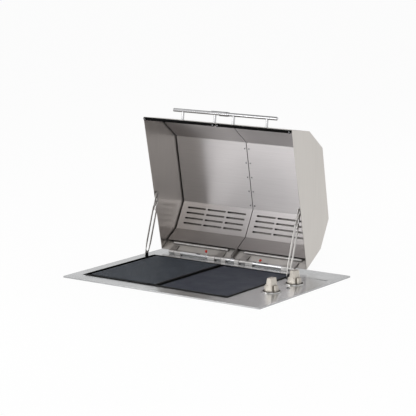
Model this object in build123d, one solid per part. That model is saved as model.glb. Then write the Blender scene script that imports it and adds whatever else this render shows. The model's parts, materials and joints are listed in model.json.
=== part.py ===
from build123d import *
import math
import os

# Built-in electric grill with a hood in two halves, shown with the hood open.
# Millimetres. +X is to the right, -Y is the front, +Z is up. The origin is the centre of the
# deck outline on the bench plane, which the turned-down lip and the flange seal rest on.

# Clearances and overruns that all pieces share
SEAT_GAP = 0.3
RUNNING_FIT = 0.08
CUT_OVERRUN = 3.0

# Deck plate
DECK_WIDTH = 860.0
DECK_DEPTH = 611.5
DECK_SHEET = 1.5
DECK_CORNER_RADIUS = 4.0
LIP_HEIGHT = 5.0
OPENING_FROM_LEFT = 41.0
OPENING_FROM_FRONT = 62.0
OPENING_FROM_REAR = 119.0
CONTROL_STRIP_WIDTH = 175.0
OPENING_FLANGE = 14.0
VENT_SLOT_LENGTH = 101.0
VENT_SLOT_WIDTH = 7.0
VENT_SLOT_FROM_RIGHT = 27.0

# Hinge line
HINGE_FROM_REAR = 62.5
HINGE_HEIGHT = 10.0
HINGE_PIN_RADIUS = 4.0
HINGE_TUBE_RADIUS = 8.0
HINGE_TUBE_BORE_RADIUS = 5.2
HINGE_BLOCK_RADIUS = 8.2
KNUCKLE_RADIUS = 8.0
KNUCKLE_SIDE_GAP = 1.0
KNUCKLE_PLATE = 3.0
KNUCKLE_REACH = 26.0
CENTRE_TUBE_HALF = 20.0
INNER_BLOCK_LENGTH = 21.0
INNER_KNUCKLE_ROOM = 30.0
MIDDLE_BLOCK_LENGTH = 32.0
OUTER_BLOCK_LENGTH = 30.0
OUTER_KNUCKLE_ROOM = 27.0
OUTER_KNUCKLE_FROM_END = 45.0
OUTER_PIN_TAIL = 3.0
OUTER_PIN_SEAT = 24.0
HINGE_SCREW_RADIUS = 2.5
HINGE_SCREW_REACH = 5.0
HINGE_SCREW_HEAD_RADIUS = 4.5
HINGE_SCREW_HEAD = 3.0
HINGE_SCREW_INSET = 7.0
KNUCKLE_HEEL_SHARE = 0.5
KNUCKLE_TOE = 6.0

# Release bolts of the hinge, each with a lever and a grip
BOLT_ENGAGEMENT = 12.0
BOLT_TAIL = 40.0
BOLT_TRAVEL = 44.0
LEVER_FROM_BLOCK = 9.0
LEVER_RADIUS = 2.0
LEVER_SLOT_WIDTH = 5.0
LEFT_LEVER_REACH = (10.0, -17.0, 24.0)
RIGHT_LEVER_REACH = (30.0, -13.0, 18.0)
GRIP_RADIUS = 4.8
GRIP_LENGTH = 11.0
GRIP_ROUND_SHARE = 0.7

# Hood: each half runs from the seam to its end panel
HOOD_PAST_OPENING_LEFT = 3.0
HOOD_PAST_OPENING_RIGHT = 19.0
HOOD_FROM_FRONT = 4.0
HOOD_HEIGHT = 192.0
HOOD_OUTLINE_SHARES = ((0.0, 0.0), (0.074, 0.563), (0.244, 0.964), (0.756, 1.0), (0.923, 0.599), (1.0, 0.0))
HOOD_SHEET = 1.2
HOOD_BEND_RADIUS = 5.0
HOOD_LEAN_ANGLE = 12.2
HINGE_BEHIND_RIM = 1.7
HINGE_BELOW_RIM = 9.6
SEAM_HALF_GAP = 1.5
SEAM_FLANGE_DEPTH = 14.0
LINER_INSET = 9.0
LINER_SHEET = 1.0
LINER_BEND_RADIUS = 3.0
LINER_SIDE_GAP = 6.0
LINER_ABOVE_HINGE = 46.0
LINER_ABOVE_RIM = 1.5
LINER_SLOT_WIDTH = 7.0
LINER_SLOT_COLUMNS = 3
LINER_SLOT_NEAR_SEAM = 25.0
LINER_SLOT_NEAR_END = 33.0
LINER_SLOT_GAP = 8.5
LINER_SLOT_ROW_SHARES = (0.23, 0.41, 0.59, 0.77)
RIVET_RADIUS = 1.8
RIVET_HEAD = 0.9
RIVET_FROM_SEAM = 9.5
RIVET_HEAD_SHARE = 1.5
RIVET_ROW_SHARES = (0.066, 0.273, 0.48, 0.687, 0.894)
RIM_GASKET_PROUD = 3.0
RIM_GASKET_DEPTH = 9.0
RIM_GASKET_PLAY = 0.2
RIM_GASKET_PAST_LINER = 2.0
BUMPER_RADIUS = 6.5
BUMPER_PROUD = 6.0
BUMPER_ROUND = 1.5
BUMPER_FROM_END = 8.0
DRIP_RAIL_RADIUS = 5.0
DRIP_RAIL_UP = 38.0
DRIP_RAIL_SUNK_SHARE = 0.4
DRIP_RAIL_FROM_SEAM = 36.0
DRIP_RAIL_FROM_END = 38.0

# Handles of the hood and the sleeve that couples them
BAR_RADIUS = 6.8
BAR_STAND = 36.0
BAR_FROM_RIM = 56.0
BAR_END_FROM_HOOD_END = 100.0
BAR_HALF_GAP = 2.0
BAR_END_CHAMFER = 1.0
POST_RADIUS = 5.5
POST_FLANGE_RADIUS = 8.0
POST_FLANGE = 2.0
INNER_POST_FROM_SEAM = 42.0
OUTER_POST_FROM_BAR_END = 44.0
COLLAR_RADIUS = 8.8
COLLAR_START = 14.5
COLLAR_LENGTH = 5.5
SLEEVE_RADIUS = 9.0
SLEEVE_PLAY = 0.3
SLEEVE_PAST_SEAM = 13.0
SLEEVE_LENGTH = 71.0
SLEEVE_TRAVEL = 16.0
SLEEVE_SLOT_PLAY = 0.8
SLEEVE_KEY_LENGTH = 7.0
SLEEVE_KEY_ANGLE = 38.0

# Stays of the hood
STAY_BEFORE_HINGE = 100.0
STAY_PIVOT_HEIGHT = 9.0
LEFT_STAY_IN_OPENING = 2.5
RIGHT_STAY_PAST_OPENING = 3.7
STAY_SHEET = 2.5
STAY_WIDTH = 31.0
STAY_CORNER_SHARE = 0.25
STAY_SLOT_WIDTH = 15.0
STAY_FOOT_RADIUS = 8.5
STAY_WIDE_START = 48.0
STAY_SLOT_START = 15.0
STAY_LATCH_LENGTH = 63.0
STAY_HEAD_WIDTH = 24.0
STAY_TOP_PAST_STUD = 8.0
STAY_LATCH_SLOT_WIDTH = 6.2
STAY_LATCH_STEP = 5.0
STAY_LATCH_SHARES = (
    (0.0, 0.0),
    (0.26, 0.0),
    (0.36, -1.0),
    (0.5, -1.0),
    (0.6, 1.0),
    (0.76, 1.0),
    (0.86, 0.0),
    (1.0, 0.0),
)
STUD_ALONG = 226.0
STUD_UP = 14.0
STUD_RADIUS = 2.4
STUD_GAP = 0.3
PIVOT_PIN_RADIUS = 2.5
PIVOT_HEAD_RADIUS = 4.0
PIVOT_HEAD = 1.0
EAR_SHEET = 2.5
EAR_WIDTH = 16.0
EAR_ABOVE_PIVOT = 6.0
EAR_FOOT_SHEET = 1.2
FOOT_DEPTH = 30.0
FOOT_WIDTH = 8.0

# Cooking plates
PLATE_COUNT = 2
PLATE_SIDE_LEDGE = 9.0
PLATE_PLAY = 2.0
PLATE_THICKNESS = 9.7
PLATE_ABOVE_DECK = 3.5
PLATE_RIM = 5.0
PLATE_RECESS = 2.0
TROUGH_WIDTH = 17.0
TROUGH_DEPTH = 5.5
DRAIN_HOLE_RADIUS = 3.6
DRAIN_HOLE_COUNT = 25
DRAIN_END_MARGIN = 20.0
LIFT_SLOT_LENGTH = 34.0
LIFT_SLOT_WIDTH = 9.0
LIFT_SLOT_FROM_SIDE = 24.0
LIFT_SLOT_FROM_EDGE = 11.0
RIB_COUNT = 30
RIB_WIDTH_SHARE = 0.5
RIB_HEIGHT = 1.8
RIB_END_GAP = 8.0

# Frame that the plates rest on
FRAME_PLAY = 0.5
FRAME_BAR = 16.0
FRAME_HEIGHT = 8.0
FRAME_LEG = 8.0
LEDGE_BELOW_DECK = 3.0
FRAME_MIDDLE_BAR = 20.0

# Firebox tub, insulation and heat shield
TUB_DEPTH = 80.0
TUB_SHEET = 1.2
TUB_RIM = 10.0
TUB_DRAIN_WIDTH = 14.0
TUB_DRAIN_LENGTH_SHARE = 0.31
TUB_DRAIN_COLUMN_SHARES = (-0.34, 0.0, 0.34)
TUB_DRAIN_ROW_SHARES = (-0.26, 0.26)
BOARD_THICKNESS = 12.0
BOARD_BELOW_RIM = 4.0
BOARD_ABOVE_FLOOR = 6.0
SHIELD_FROM_TUB = 14.0
SHIELD_SHEET = 1.2

# Outer casing under the deck
CASING_MARGIN = 20.0
CASING_DEPTH = 133.0
CASING_SHEET = 1.0
SEAL_WIDTH = 12.0
SEAL_FROM_LIP = 1.5
CASING_VENT_COUNT = 7
CASING_VENT_PITCH = 24.0
CASING_VENT_WIDTH = 5.0
CASING_VENT_HEIGHT = 46.0

# Drip tray and its runners
TRAY_SIDE_INSET = 42.0
TRAY_REAR_GAP = 72.0
TRAY_HEIGHT = 28.0
TRAY_SHEET = 1.2
TRAY_BELOW_TUB = 8.0
TRAY_FASCIA_OVERLAP = 8.0
TRAY_FASCIA_SHEET = 2.0
TRAY_MOUTH_PLAY = 2.0
TRAY_PULL_LENGTH = 120.0
TRAY_PULL_DEPTH = 14.0
TRAY_PULL_SHEET = 2.0
RUNNER_WIDTH = 14.0
RUNNER_GUIDE = 3.0
RUNNER_GUIDE_RISE = 6.0
RUNNER_SIDE_PLAY = 0.5

# Sheathed heating elements
ELEMENT_RADIUS = 4.0
ELEMENT_BELOW_DECK = 25.0
ELEMENT_FROM_PLATE_SIDE = 47.0
ELEMENT_LEGS = 4
ELEMENT_BEND_SHARE = 0.4
ELEMENT_FROM_FRONT_WALL = 40.0
ELEMENT_FROM_REAR_WALL = 50.0
ELEMENT_EXIT = 40.0
SUPPORT_BAR_WIDTH = 16.0
SUPPORT_BAR_HEIGHT = 4.0
SUPPORT_BAR_SHARES = (0.25, 0.72)
GLAND_RADIUS = 8.0
GLAND_LENGTH = 16.0

# Knobs, thermostats and lamp
KNOB_PAST_OPENING = 75.0
KNOB_SPACING = 152.0
BEZEL_RADIUS = 34.4
BEZEL_THICKNESS = 1.6
BEZEL_RING = 4.0
BEZEL_RING_HEIGHT = 3.4
BEZEL_ROUND = 1.3
KNOB_BASE_RADIUS = 25.5
KNOB_BASE_HEIGHT = 3.0
KNOB_HEIGHT = 48.0
KNOB_LONG_BASE = 40.0
KNOB_LONG_TOP = 34.0
KNOB_THICK_BASE = 30.0
KNOB_THICK_TOP = 19.0
KNOB_CROSS_HEIGHT = 22.0
KNOB_CROSS_LONG_BASE = 50.0
KNOB_CROSS_LONG_TOP = 46.0
KNOB_CROSS_THICK_BASE = 22.0
KNOB_CROSS_THICK_TOP = 19.0
KNOB_EDGE_RADIUS = 2.5
KNOB_SOCKET_DEPTH = 18.0
SPINDLE_RADIUS = 3.0
SPINDLE_IN_THERMOSTAT = 20.0
SPINDLE_HOLE_RADIUS = 4.5
THERMOSTAT_SIDE = 44.0
THERMOSTAT_HEIGHT = 28.0
THERMOSTAT_COLLAR_RADIUS = 20.0
THERMOSTAT_COLLAR = 10.0
THERMOSTAT_TAB = 6.0
THERMOSTAT_TAB_SHEET = 0.8
THERMOSTAT_TABS = 4
SMALL_SCREW_RADIUS = 2.0
SMALL_SCREW_HEAD_RADIUS = 3.6
SMALL_SCREW_HEAD = 1.0
SMALL_SCREW_LENGTH = 9.0
THERMOSTAT_SCREW_SPACING = 28.0
LAMP_PAST_KNOB = 19.0
LAMP_BEHIND_MIDDLE = 4.0
LAMP_RADIUS = 7.5
LAMP_RING = 1.8
LAMP_RING_HEIGHT = 2.0
LAMP_NECK_RADIUS = 4.5
LAMP_NECK_PLAY = 0.3
LAMP_BODY_RADIUS = 6.5
LAMP_BODY_LENGTH = 22.0
LAMP_DOME_RISE = 2.6

# Terminal block, cable inlet, wiring and service cover
TERMINAL_LENGTH = 66.0
TERMINAL_WIDTH = 24.0
TERMINAL_HEIGHT = 22.0
TERMINAL_POLES = 3
TERMINAL_BORE_RADIUS = 3.0
TERMINAL_FROM_RIGHT = 90.0
TERMINAL_FROM_REAR = 100.0
INLET_BORE_RADIUS = 5.5
INLET_RADIUS = 9.0
INLET_FLANGE_RADIUS = 13.0
INLET_FLANGE = 3.0
INLET_INSIDE = 12.0
INLET_DOWN = 70.0
COVER_TO_CLAMP = 40.0
COVER_HEIGHT = 90.0
COVER_OVERLAP = 10.0
COVER_SHEET = 1.2
COVER_DOWN = 74.0
COVER_SCREW_COLUMNS = 3
WIRE_RADIUS = 2.0
WIRE_BEND_RADIUS = 6.0
WIRE_LANE_START = 22.0
WIRE_LANE_PITCH = 10.0
WIRE_AISLE_START = 14.0
WIRE_DROP = 16.0
WIRE_LINK_DROP = 18.0
WIRE_PASSAGE_MARGIN = 7.0

# Bench clamps
CLAMP_WIDTH = 30.0
CLAMP_LEG = 36.0
CLAMP_ARM = 17.0
CLAMP_SHEET = 2.5
CLAMP_DOWN = 66.0
CLAMP_FROM_CORNER = 81.0
CLAMP_SCREW_SHARE = 0.6
CLAMP_SCREW_RADIUS = 3.0
CLAMP_SCREW_HEAD_RADIUS = 5.0
CLAMP_SCREW_HEAD = 4.0
CLAMP_PAD_RADIUS = 6.0
CLAMP_PAD = 3.0
BENCH_THICKNESS = 20.0

# Places worked out from the sizes above
LEFT = -DECK_WIDTH / 2
RIGHT = DECK_WIDTH / 2
FRONT = -DECK_DEPTH / 2
REAR = DECK_DEPTH / 2
DECK_TOP = LIP_HEIGHT
DECK_UNDER = DECK_TOP - DECK_SHEET
OPENING_X0 = LEFT + OPENING_FROM_LEFT
OPENING_X1 = RIGHT - CONTROL_STRIP_WIDTH
OPENING_Y0 = FRONT + OPENING_FROM_FRONT
OPENING_Y1 = REAR - OPENING_FROM_REAR
HINGE_Y = REAR - HINGE_FROM_REAR
HINGE_Z = DECK_TOP + HINGE_HEIGHT
HOOD_X0 = OPENING_X0 - HOOD_PAST_OPENING_LEFT
HOOD_X1 = OPENING_X1 + HOOD_PAST_OPENING_RIGHT
HOOD_HALF_WIDTH = (HOOD_X1 - HOOD_X0) / 2
HOOD_LENGTH = HINGE_Y - HINGE_BEHIND_RIM - FRONT - HOOD_FROM_FRONT
SEAM_X = (HOOD_X0 + HOOD_X1) / 2
BAR_END_FROM_SEAM = HOOD_HALF_WIDTH - BAR_END_FROM_HOOD_END
OUTER_POST_FROM_SEAM = BAR_END_FROM_SEAM - OUTER_POST_FROM_BAR_END
KNOB_X = OPENING_X1 + KNOB_PAST_OPENING
KNOB_YS = (-KNOB_SPACING / 2, KNOB_SPACING / 2)
LAMP_X = KNOB_X + LAMP_PAST_KNOB
LAMP_Y = LAMP_BEHIND_MIDDLE
TUB_GAP = DECK_SHEET + SEAT_GAP
TUB_X0 = OPENING_X0 - TUB_GAP - TUB_SHEET
TUB_X1 = OPENING_X1 + TUB_GAP + TUB_SHEET
TUB_Y0 = OPENING_Y0 - TUB_GAP - TUB_SHEET
TUB_Y1 = OPENING_Y1 + TUB_GAP + TUB_SHEET
TUB_FLOOR = DECK_TOP - TUB_DEPTH
CASING_X0 = LEFT + CASING_MARGIN
CASING_X1 = RIGHT - CASING_MARGIN
CASING_Y0 = FRONT + CASING_MARGIN
CASING_Y1 = REAR - CASING_MARGIN
CASING_BOTTOM = DECK_TOP - CASING_DEPTH
PLATE_TOP = DECK_TOP + PLATE_ABOVE_DECK
PLATE_SEAT = PLATE_TOP - PLATE_THICKNESS
FRAME_TOP = PLATE_SEAT - SEAT_GAP
FRAME_UNDER = FRAME_TOP - FRAME_HEIGHT
LEDGE_TOP = DECK_TOP - LEDGE_BELOW_DECK
PLATES_X0 = OPENING_X0 + PLATE_SIDE_LEDGE
PLATE_WIDTH = (OPENING_X1 - PLATES_X0 - (PLATE_COUNT + 1) * PLATE_PLAY) / PLATE_COUNT
PLATE_Y0 = OPENING_Y0 + PLATE_PLAY
PLATE_Y1 = OPENING_Y1 - PLATE_PLAY
ELEMENT_Z = DECK_TOP - ELEMENT_BELOW_DECK
SUPPORT_TOP = ELEMENT_Z - ELEMENT_RADIUS - SEAT_GAP
STAY_Y = HINGE_Y - STAY_BEFORE_HINGE
STAY_Z = DECK_TOP + STAY_PIVOT_HEIGHT
LEFT_STAY_X = OPENING_X0 + LEFT_STAY_IN_OPENING
RIGHT_STAY_X = OPENING_X1 + RIGHT_STAY_PAST_OPENING
TRAY_X = (OPENING_X0 + OPENING_X1) / 2
TRAY_WIDTH = OPENING_X1 - OPENING_X0 - 2 * TRAY_SIDE_INSET
TRAY_DEPTH = CASING_Y1 - CASING_Y0 - TRAY_REAR_GAP
CLAMP_FROM_MIDDLE = CASING_Y1 - CLAMP_FROM_CORNER
COVER_LENGTH = 2 * (CLAMP_FROM_MIDDLE - CLAMP_WIDTH / 2 - COVER_TO_CLAMP)
ELEMENT_LEG_PITCH = (PLATE_WIDTH - 2 * ELEMENT_FROM_PLATE_SIDE) / (ELEMENT_LEGS - 1)
TRAY_TOP = TUB_FLOOR - TUB_SHEET - TRAY_BELOW_TUB
TRAY_BOTTOM = TRAY_TOP - TRAY_HEIGHT
SHIELD_X = TUB_X1 + SHIELD_FROM_TUB
HOOD_OPENING_ANGLE = 90.0 - HOOD_LEAN_ANGLE


# Shared shapes
def block(x0, x1, y0, y1, z0, z1):
    """Box between two opposite corners."""
    return Pos((x0 + x1) / 2, (y0 + y1) / 2, (z0 + z1) / 2) * Box(x1 - x0, y1 - y0, z1 - z0)


def rod(start, end, radius):
    """Round bar from one point to another."""
    axis = Vector(*end) - Vector(*start)
    return extrude(Plane(origin=start, z_dir=axis) * Circle(radius), amount=axis.length)


def rod_x(x0, x1, y, z, radius):
    """Round bar along X."""
    return rod((min(x0, x1), y, z), (max(x0, x1), y, z), radius)


def rod_z(x, y, z0, z1, radius):
    """Upright round bar."""
    return rod((x, y, z0), (x, y, z1), radius)


def prism_x(points, radii, x0, x1):
    """Solid along X with a closed (y, z) outline and one corner radius for each point."""
    outline = FilletPolyline(*points, radius=radii, close=True)
    low = min(x0, x1)
    return extrude(Plane.YZ.offset(low) * make_face(outline), amount=abs(x1 - x0))


def group(*solids):
    """Several separate solids that make one node."""
    return Compound(children=[solid for item in solids for solid in item.solids()])


def save(shape, name):
    """Write one sub-part."""
    shape.label = name
    export_step(shape, "parts/" + name + ".step")


def side_span(side, near, far):
    """X range between two distances from the seam; side is -1 for the left half and 1 for the right."""
    return tuple(sorted((SEAM_X + side * near, SEAM_X + side * far)))


# Deck, seal, tub, casing and what they hold
def deck_plate():
    """Sheet with a turned-down lip, a flanged opening, holes for the controls and a vent slot."""
    outer = extrude(RectangleRounded(DECK_WIDTH, DECK_DEPTH, DECK_CORNER_RADIUS), amount=LIP_HEIGHT)
    inner_radius = DECK_CORNER_RADIUS - DECK_SHEET
    inner = RectangleRounded(DECK_WIDTH - 2 * DECK_SHEET, DECK_DEPTH - 2 * DECK_SHEET, inner_radius)
    sheet = outer - extrude(inner, amount=DECK_UNDER)
    flange = block(
        OPENING_X0 - DECK_SHEET,
        OPENING_X1 + DECK_SHEET,
        OPENING_Y0 - DECK_SHEET,
        OPENING_Y1 + DECK_SHEET,
        DECK_TOP - OPENING_FLANGE,
        DECK_TOP,
    )
    window = block(
        OPENING_X0,
        OPENING_X1,
        OPENING_Y0,
        OPENING_Y1,
        DECK_TOP - OPENING_FLANGE - CUT_OVERRUN,
        DECK_TOP + CUT_OVERRUN,
    )
    sheet = sheet + flange - window
    for y in KNOB_YS:
        sheet -= rod_z(KNOB_X, y, DECK_UNDER - CUT_OVERRUN, DECK_TOP + CUT_OVERRUN, SPINDLE_HOLE_RADIUS)
        for screw in thermostat_screws_at(y):
            sheet -= screw
    lamp_hole = LAMP_NECK_RADIUS + LAMP_NECK_PLAY
    sheet -= rod_z(LAMP_X, LAMP_Y, DECK_UNDER - CUT_OVERRUN, DECK_TOP + CUT_OVERRUN, lamp_hole)
    for screw in hinge_screw_list():
        sheet -= screw
    slot = SlotOverall(VENT_SLOT_LENGTH, VENT_SLOT_WIDTH)
    slot_x = RIGHT - VENT_SLOT_FROM_RIGHT - VENT_SLOT_LENGTH / 2
    slot_place = Pos(slot_x, OPENING_Y1, DECK_UNDER - CUT_OVERRUN)
    return sheet - slot_place * extrude(slot, amount=DECK_SHEET + 2 * CUT_OVERRUN)


def flange_seal():
    """Flat foam ring under the deck, just inside the lip, level with its edge."""
    width = DECK_WIDTH - 2 * (DECK_SHEET + SEAL_FROM_LIP)
    depth = DECK_DEPTH - 2 * (DECK_SHEET + SEAL_FROM_LIP)
    ring = Rectangle(width, depth) - Rectangle(width - 2 * SEAL_WIDTH, depth - 2 * SEAL_WIDTH)
    return extrude(ring, amount=DECK_UNDER)


def firebox_tub():
    """Open tub that hangs from the deck around the opening, with drain slots in its floor."""
    body = block(TUB_X0, TUB_X1, TUB_Y0, TUB_Y1, TUB_FLOOR - TUB_SHEET, DECK_UNDER)
    rim = block(
        TUB_X0 - TUB_RIM,
        TUB_X1 + TUB_RIM,
        TUB_Y0 - TUB_RIM,
        TUB_Y1 + TUB_RIM,
        DECK_UNDER - TUB_SHEET,
        DECK_UNDER,
    )
    hollow = block(
        TUB_X0 + TUB_SHEET,
        TUB_X1 - TUB_SHEET,
        TUB_Y0 + TUB_SHEET,
        TUB_Y1 - TUB_SHEET,
        TUB_FLOOR,
        DECK_TOP,
    )
    tub = body + rim - hollow
    slot = SlotOverall(TUB_DRAIN_LENGTH_SHARE * TRAY_WIDTH, TUB_DRAIN_WIDTH)
    for column in TUB_DRAIN_COLUMN_SHARES:
        for row in TUB_DRAIN_ROW_SHARES:
            x = TRAY_X + column * TRAY_WIDTH
            y = (TUB_Y0 + TUB_Y1) / 2 + row * (TUB_Y1 - TUB_Y0)
            place = Pos(x, y, TUB_FLOOR - TUB_SHEET - CUT_OVERRUN)
            tub -= place * extrude(slot, amount=TUB_SHEET + 2 * CUT_OVERRUN)
    for x in element_end_xs():
        tub -= rod((x, TUB_Y1 - TUB_SHEET - CUT_OVERRUN, ELEMENT_Z), (x, TUB_Y1 + CUT_OVERRUN, ELEMENT_Z),
                   ELEMENT_RADIUS + SEAT_GAP)
    return tub


def outer_casing():
    """Casing of five welded sheets: tray mouth in front, vents and inlet behind, window at the right."""
    low = CASING_BOTTOM + CASING_SHEET
    inner_x0 = CASING_X0 + CASING_SHEET
    inner_x1 = CASING_X1 - CASING_SHEET
    floor = block(CASING_X0, CASING_X1, CASING_Y0, CASING_Y1, CASING_BOTTOM, low)
    left = block(CASING_X0, inner_x0, CASING_Y0, CASING_Y1, low, DECK_UNDER)
    right = block(inner_x1, CASING_X1, CASING_Y0, CASING_Y1, low, DECK_UNDER)
    front = block(inner_x0, inner_x1, CASING_Y0, CASING_Y0 + CASING_SHEET, low, DECK_UNDER)
    rear = block(inner_x0, inner_x1, CASING_Y1 - CASING_SHEET, CASING_Y1, low, DECK_UNDER)
    front -= block(
        TRAY_X - TRAY_WIDTH / 2 - TRAY_MOUTH_PLAY,
        TRAY_X + TRAY_WIDTH / 2 + TRAY_MOUTH_PLAY,
        CASING_Y0 - CUT_OVERRUN,
        CASING_Y0 + CASING_SHEET + CUT_OVERRUN,
        TRAY_BOTTOM - TRAY_MOUTH_PLAY,
        TRAY_TOP + TRAY_MOUTH_PLAY,
    )
    right -= block(
        inner_x1 - CUT_OVERRUN,
        CASING_X1 + CUT_OVERRUN,
        -COVER_LENGTH / 2 + COVER_OVERLAP,
        COVER_LENGTH / 2 - COVER_OVERLAP,
        DECK_TOP - COVER_DOWN - COVER_HEIGHT / 2 + COVER_OVERLAP,
        DECK_TOP - COVER_DOWN + COVER_HEIGHT / 2 - COVER_OVERLAP,
    )
    for screw in cover_screws():
        right -= screw
    inlet_x, inlet_z = inlet_place()
    rear -= rod((inlet_x, CASING_Y1 - CASING_SHEET - CUT_OVERRUN, inlet_z),
                (inlet_x, CASING_Y1 + CUT_OVERRUN, inlet_z), INLET_RADIUS)
    for i in range(CASING_VENT_COUNT):
        x = SEAM_X + (i - (CASING_VENT_COUNT - 1) / 2) * CASING_VENT_PITCH
        rear -= block(
            x - CASING_VENT_WIDTH / 2,
            x + CASING_VENT_WIDTH / 2,
            CASING_Y1 - CASING_SHEET - CUT_OVERRUN,
            CASING_Y1 + CUT_OVERRUN,
            TUB_FLOOR,
            TUB_FLOOR + CASING_VENT_HEIGHT,
        )
    return group(floor, left, right, front, rear)


def insulation_boards():
    """Mineral boards against the four walls of the tub; the rear one lets the element ends through."""
    low = TUB_FLOOR + BOARD_ABOVE_FLOOR
    high = DECK_UNDER - TUB_SHEET - BOARD_BELOW_RIM
    rear = block(TUB_X0, TUB_X1, TUB_Y1, TUB_Y1 + BOARD_THICKNESS, low, high)
    for x in element_end_xs():
        start = (x, TUB_Y1 - CUT_OVERRUN, ELEMENT_Z)
        end = (x, TUB_Y1 + BOARD_THICKNESS + CUT_OVERRUN, ELEMENT_Z)
        rear -= rod(start, end, GLAND_RADIUS + SEAT_GAP)
    return group(
        block(TUB_X0 - BOARD_THICKNESS, TUB_X0, TUB_Y0, TUB_Y1, low, high),
        block(TUB_X1, TUB_X1 + BOARD_THICKNESS, TUB_Y0, TUB_Y1, low, high),
        block(TUB_X0, TUB_X1, TUB_Y0 - BOARD_THICKNESS, TUB_Y0, low, high),
        rear,
    )


def heat_shield():
    """Upright sheet between the tub and the control bay, with a passage for the wires at the rear."""
    sheet = block(
        SHIELD_X,
        SHIELD_X + SHIELD_SHEET,
        CASING_Y0 + CASING_SHEET,
        CASING_Y1 - CASING_SHEET,
        CASING_BOTTOM + CASING_SHEET,
        DECK_UNDER,
    )
    passage = block(
        SHIELD_X - CUT_OVERRUN,
        SHIELD_X + SHIELD_SHEET + CUT_OVERRUN,
        wire_lane_y(1) - WIRE_PASSAGE_MARGIN,
        wire_lane_y(0) + WIRE_PASSAGE_MARGIN,
        ELEMENT_Z - WIRE_DROP - WIRE_PASSAGE_MARGIN,
        ELEMENT_Z + WIRE_PASSAGE_MARGIN,
    )
    return sheet - passage


def plate_support_frame():
    """Frame on legs in the tub: a seat for both plates and the raised ledge beside the left stay."""
    x0 = OPENING_X0 + FRAME_PLAY
    x1 = OPENING_X1 - FRAME_PLAY
    y0 = OPENING_Y0 + FRAME_PLAY
    y1 = OPENING_Y1 - FRAME_PLAY
    seat = block(x0, x1, y0, y1, FRAME_UNDER, FRAME_TOP)
    split_x = PLATES_X0 + PLATE_PLAY + PLATE_WIDTH + PLATE_PLAY / 2
    windows = (
        (x0 + FRAME_BAR, split_x - FRAME_MIDDLE_BAR / 2),
        (split_x + FRAME_MIDDLE_BAR / 2, x1 - FRAME_BAR),
    )
    for left, right in windows:
        seat -= block(left, right, y0 + FRAME_BAR, y1 - FRAME_BAR, FRAME_UNDER - CUT_OVERRUN,
                      FRAME_TOP + CUT_OVERRUN)
    frame = seat + block(x0, PLATES_X0, y0, y1, FRAME_UNDER, LEDGE_TOP)
    leg_xs = (x0, split_x - FRAME_LEG / 2, x1 - FRAME_LEG)
    for x in leg_xs:
        for y in (y0, y1 - FRAME_LEG):
            frame += block(x, x + FRAME_LEG, y, y + FRAME_LEG, TUB_FLOOR, FRAME_TOP)
    return frame


# Heating elements
def element_leg_xs(plate_index):
    """X of each straight leg of the element under one plate."""
    middle = PLATES_X0 + PLATE_PLAY + PLATE_WIDTH / 2 + plate_index * (PLATE_WIDTH + PLATE_PLAY)
    return [middle + (i - (ELEMENT_LEGS - 1) / 2) * ELEMENT_LEG_PITCH for i in range(ELEMENT_LEGS)]


def element_end_xs():
    """X of the element ends, which leave the tub through its rear wall."""
    ends = []
    for plate_index in range(2):
        legs = element_leg_xs(plate_index)
        ends += [legs[0], legs[-1]]
    return ends


def element_tip_y():
    """Y of the element tips behind the tub."""
    return TUB_Y1 + ELEMENT_EXIT


def heating_element(plate_index):
    """One sheathed element: straight legs joined by round turns, both ends at the rear."""
    front_y = TUB_Y0 + ELEMENT_FROM_FRONT_WALL
    rear_y = TUB_Y1 - ELEMENT_FROM_REAR_WALL
    legs = element_leg_xs(plate_index)
    points = [(legs[0], element_tip_y(), ELEMENT_Z)]
    for i, (near, far) in enumerate(zip(legs, legs[1:])):
        turn_y = front_y if i % 2 == 0 else rear_y
        points += [(near, turn_y, ELEMENT_Z), (far, turn_y, ELEMENT_Z)]
    points.append((legs[-1], element_tip_y(), ELEMENT_Z))
    path = FilletPolyline(*points, radius=ELEMENT_BEND_SHARE * ELEMENT_LEG_PITCH)
    section = Plane(origin=points[0], z_dir=(0, -1, 0)) * Circle(ELEMENT_RADIUS)
    return sweep(section, path=path)


def element_support_bars():
    """Flat bars across the tub that carry the elements."""
    x0 = TUB_X0 + TUB_SHEET
    x1 = TUB_X1 - TUB_SHEET
    bars = []
    for share in SUPPORT_BAR_SHARES:
        y = TUB_Y0 + share * (TUB_Y1 - TUB_Y0)
        bars.append(block(x0, x1, y - SUPPORT_BAR_WIDTH / 2, y + SUPPORT_BAR_WIDTH / 2,
                          SUPPORT_TOP - SUPPORT_BAR_HEIGHT, SUPPORT_TOP))
    return group(*bars)


def element_glands():
    """Ceramic glands that hold the element ends at the rear wall of the tub."""
    glands = []
    for x in element_end_xs():
        gland = rod((x, TUB_Y1, ELEMENT_Z), (x, TUB_Y1 + GLAND_LENGTH, ELEMENT_Z), GLAND_RADIUS)
        bore = rod((x, TUB_Y1 - CUT_OVERRUN, ELEMENT_Z), (x, TUB_Y1 + GLAND_LENGTH + CUT_OVERRUN, ELEMENT_Z),
                   ELEMENT_RADIUS + RUNNING_FIT)
        glands.append(gland - bore)
    return group(*glands)


# Controls on the deck and in the control bay
def thermostat_screws_at(y):
    """Two countersunk screws through the deck into one thermostat, hidden by the bezel."""
    screws = []
    for side in (-1, 1):
        x = KNOB_X + side * THERMOSTAT_SCREW_SPACING / 2
        shank = rod_z(x, y, DECK_TOP - SMALL_SCREW_LENGTH, DECK_TOP, SMALL_SCREW_RADIUS)
        head = rod_z(x, y, DECK_TOP - SMALL_SCREW_HEAD, DECK_TOP, SMALL_SCREW_HEAD_RADIUS)
        screws.append(shank + head)
    return screws


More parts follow.
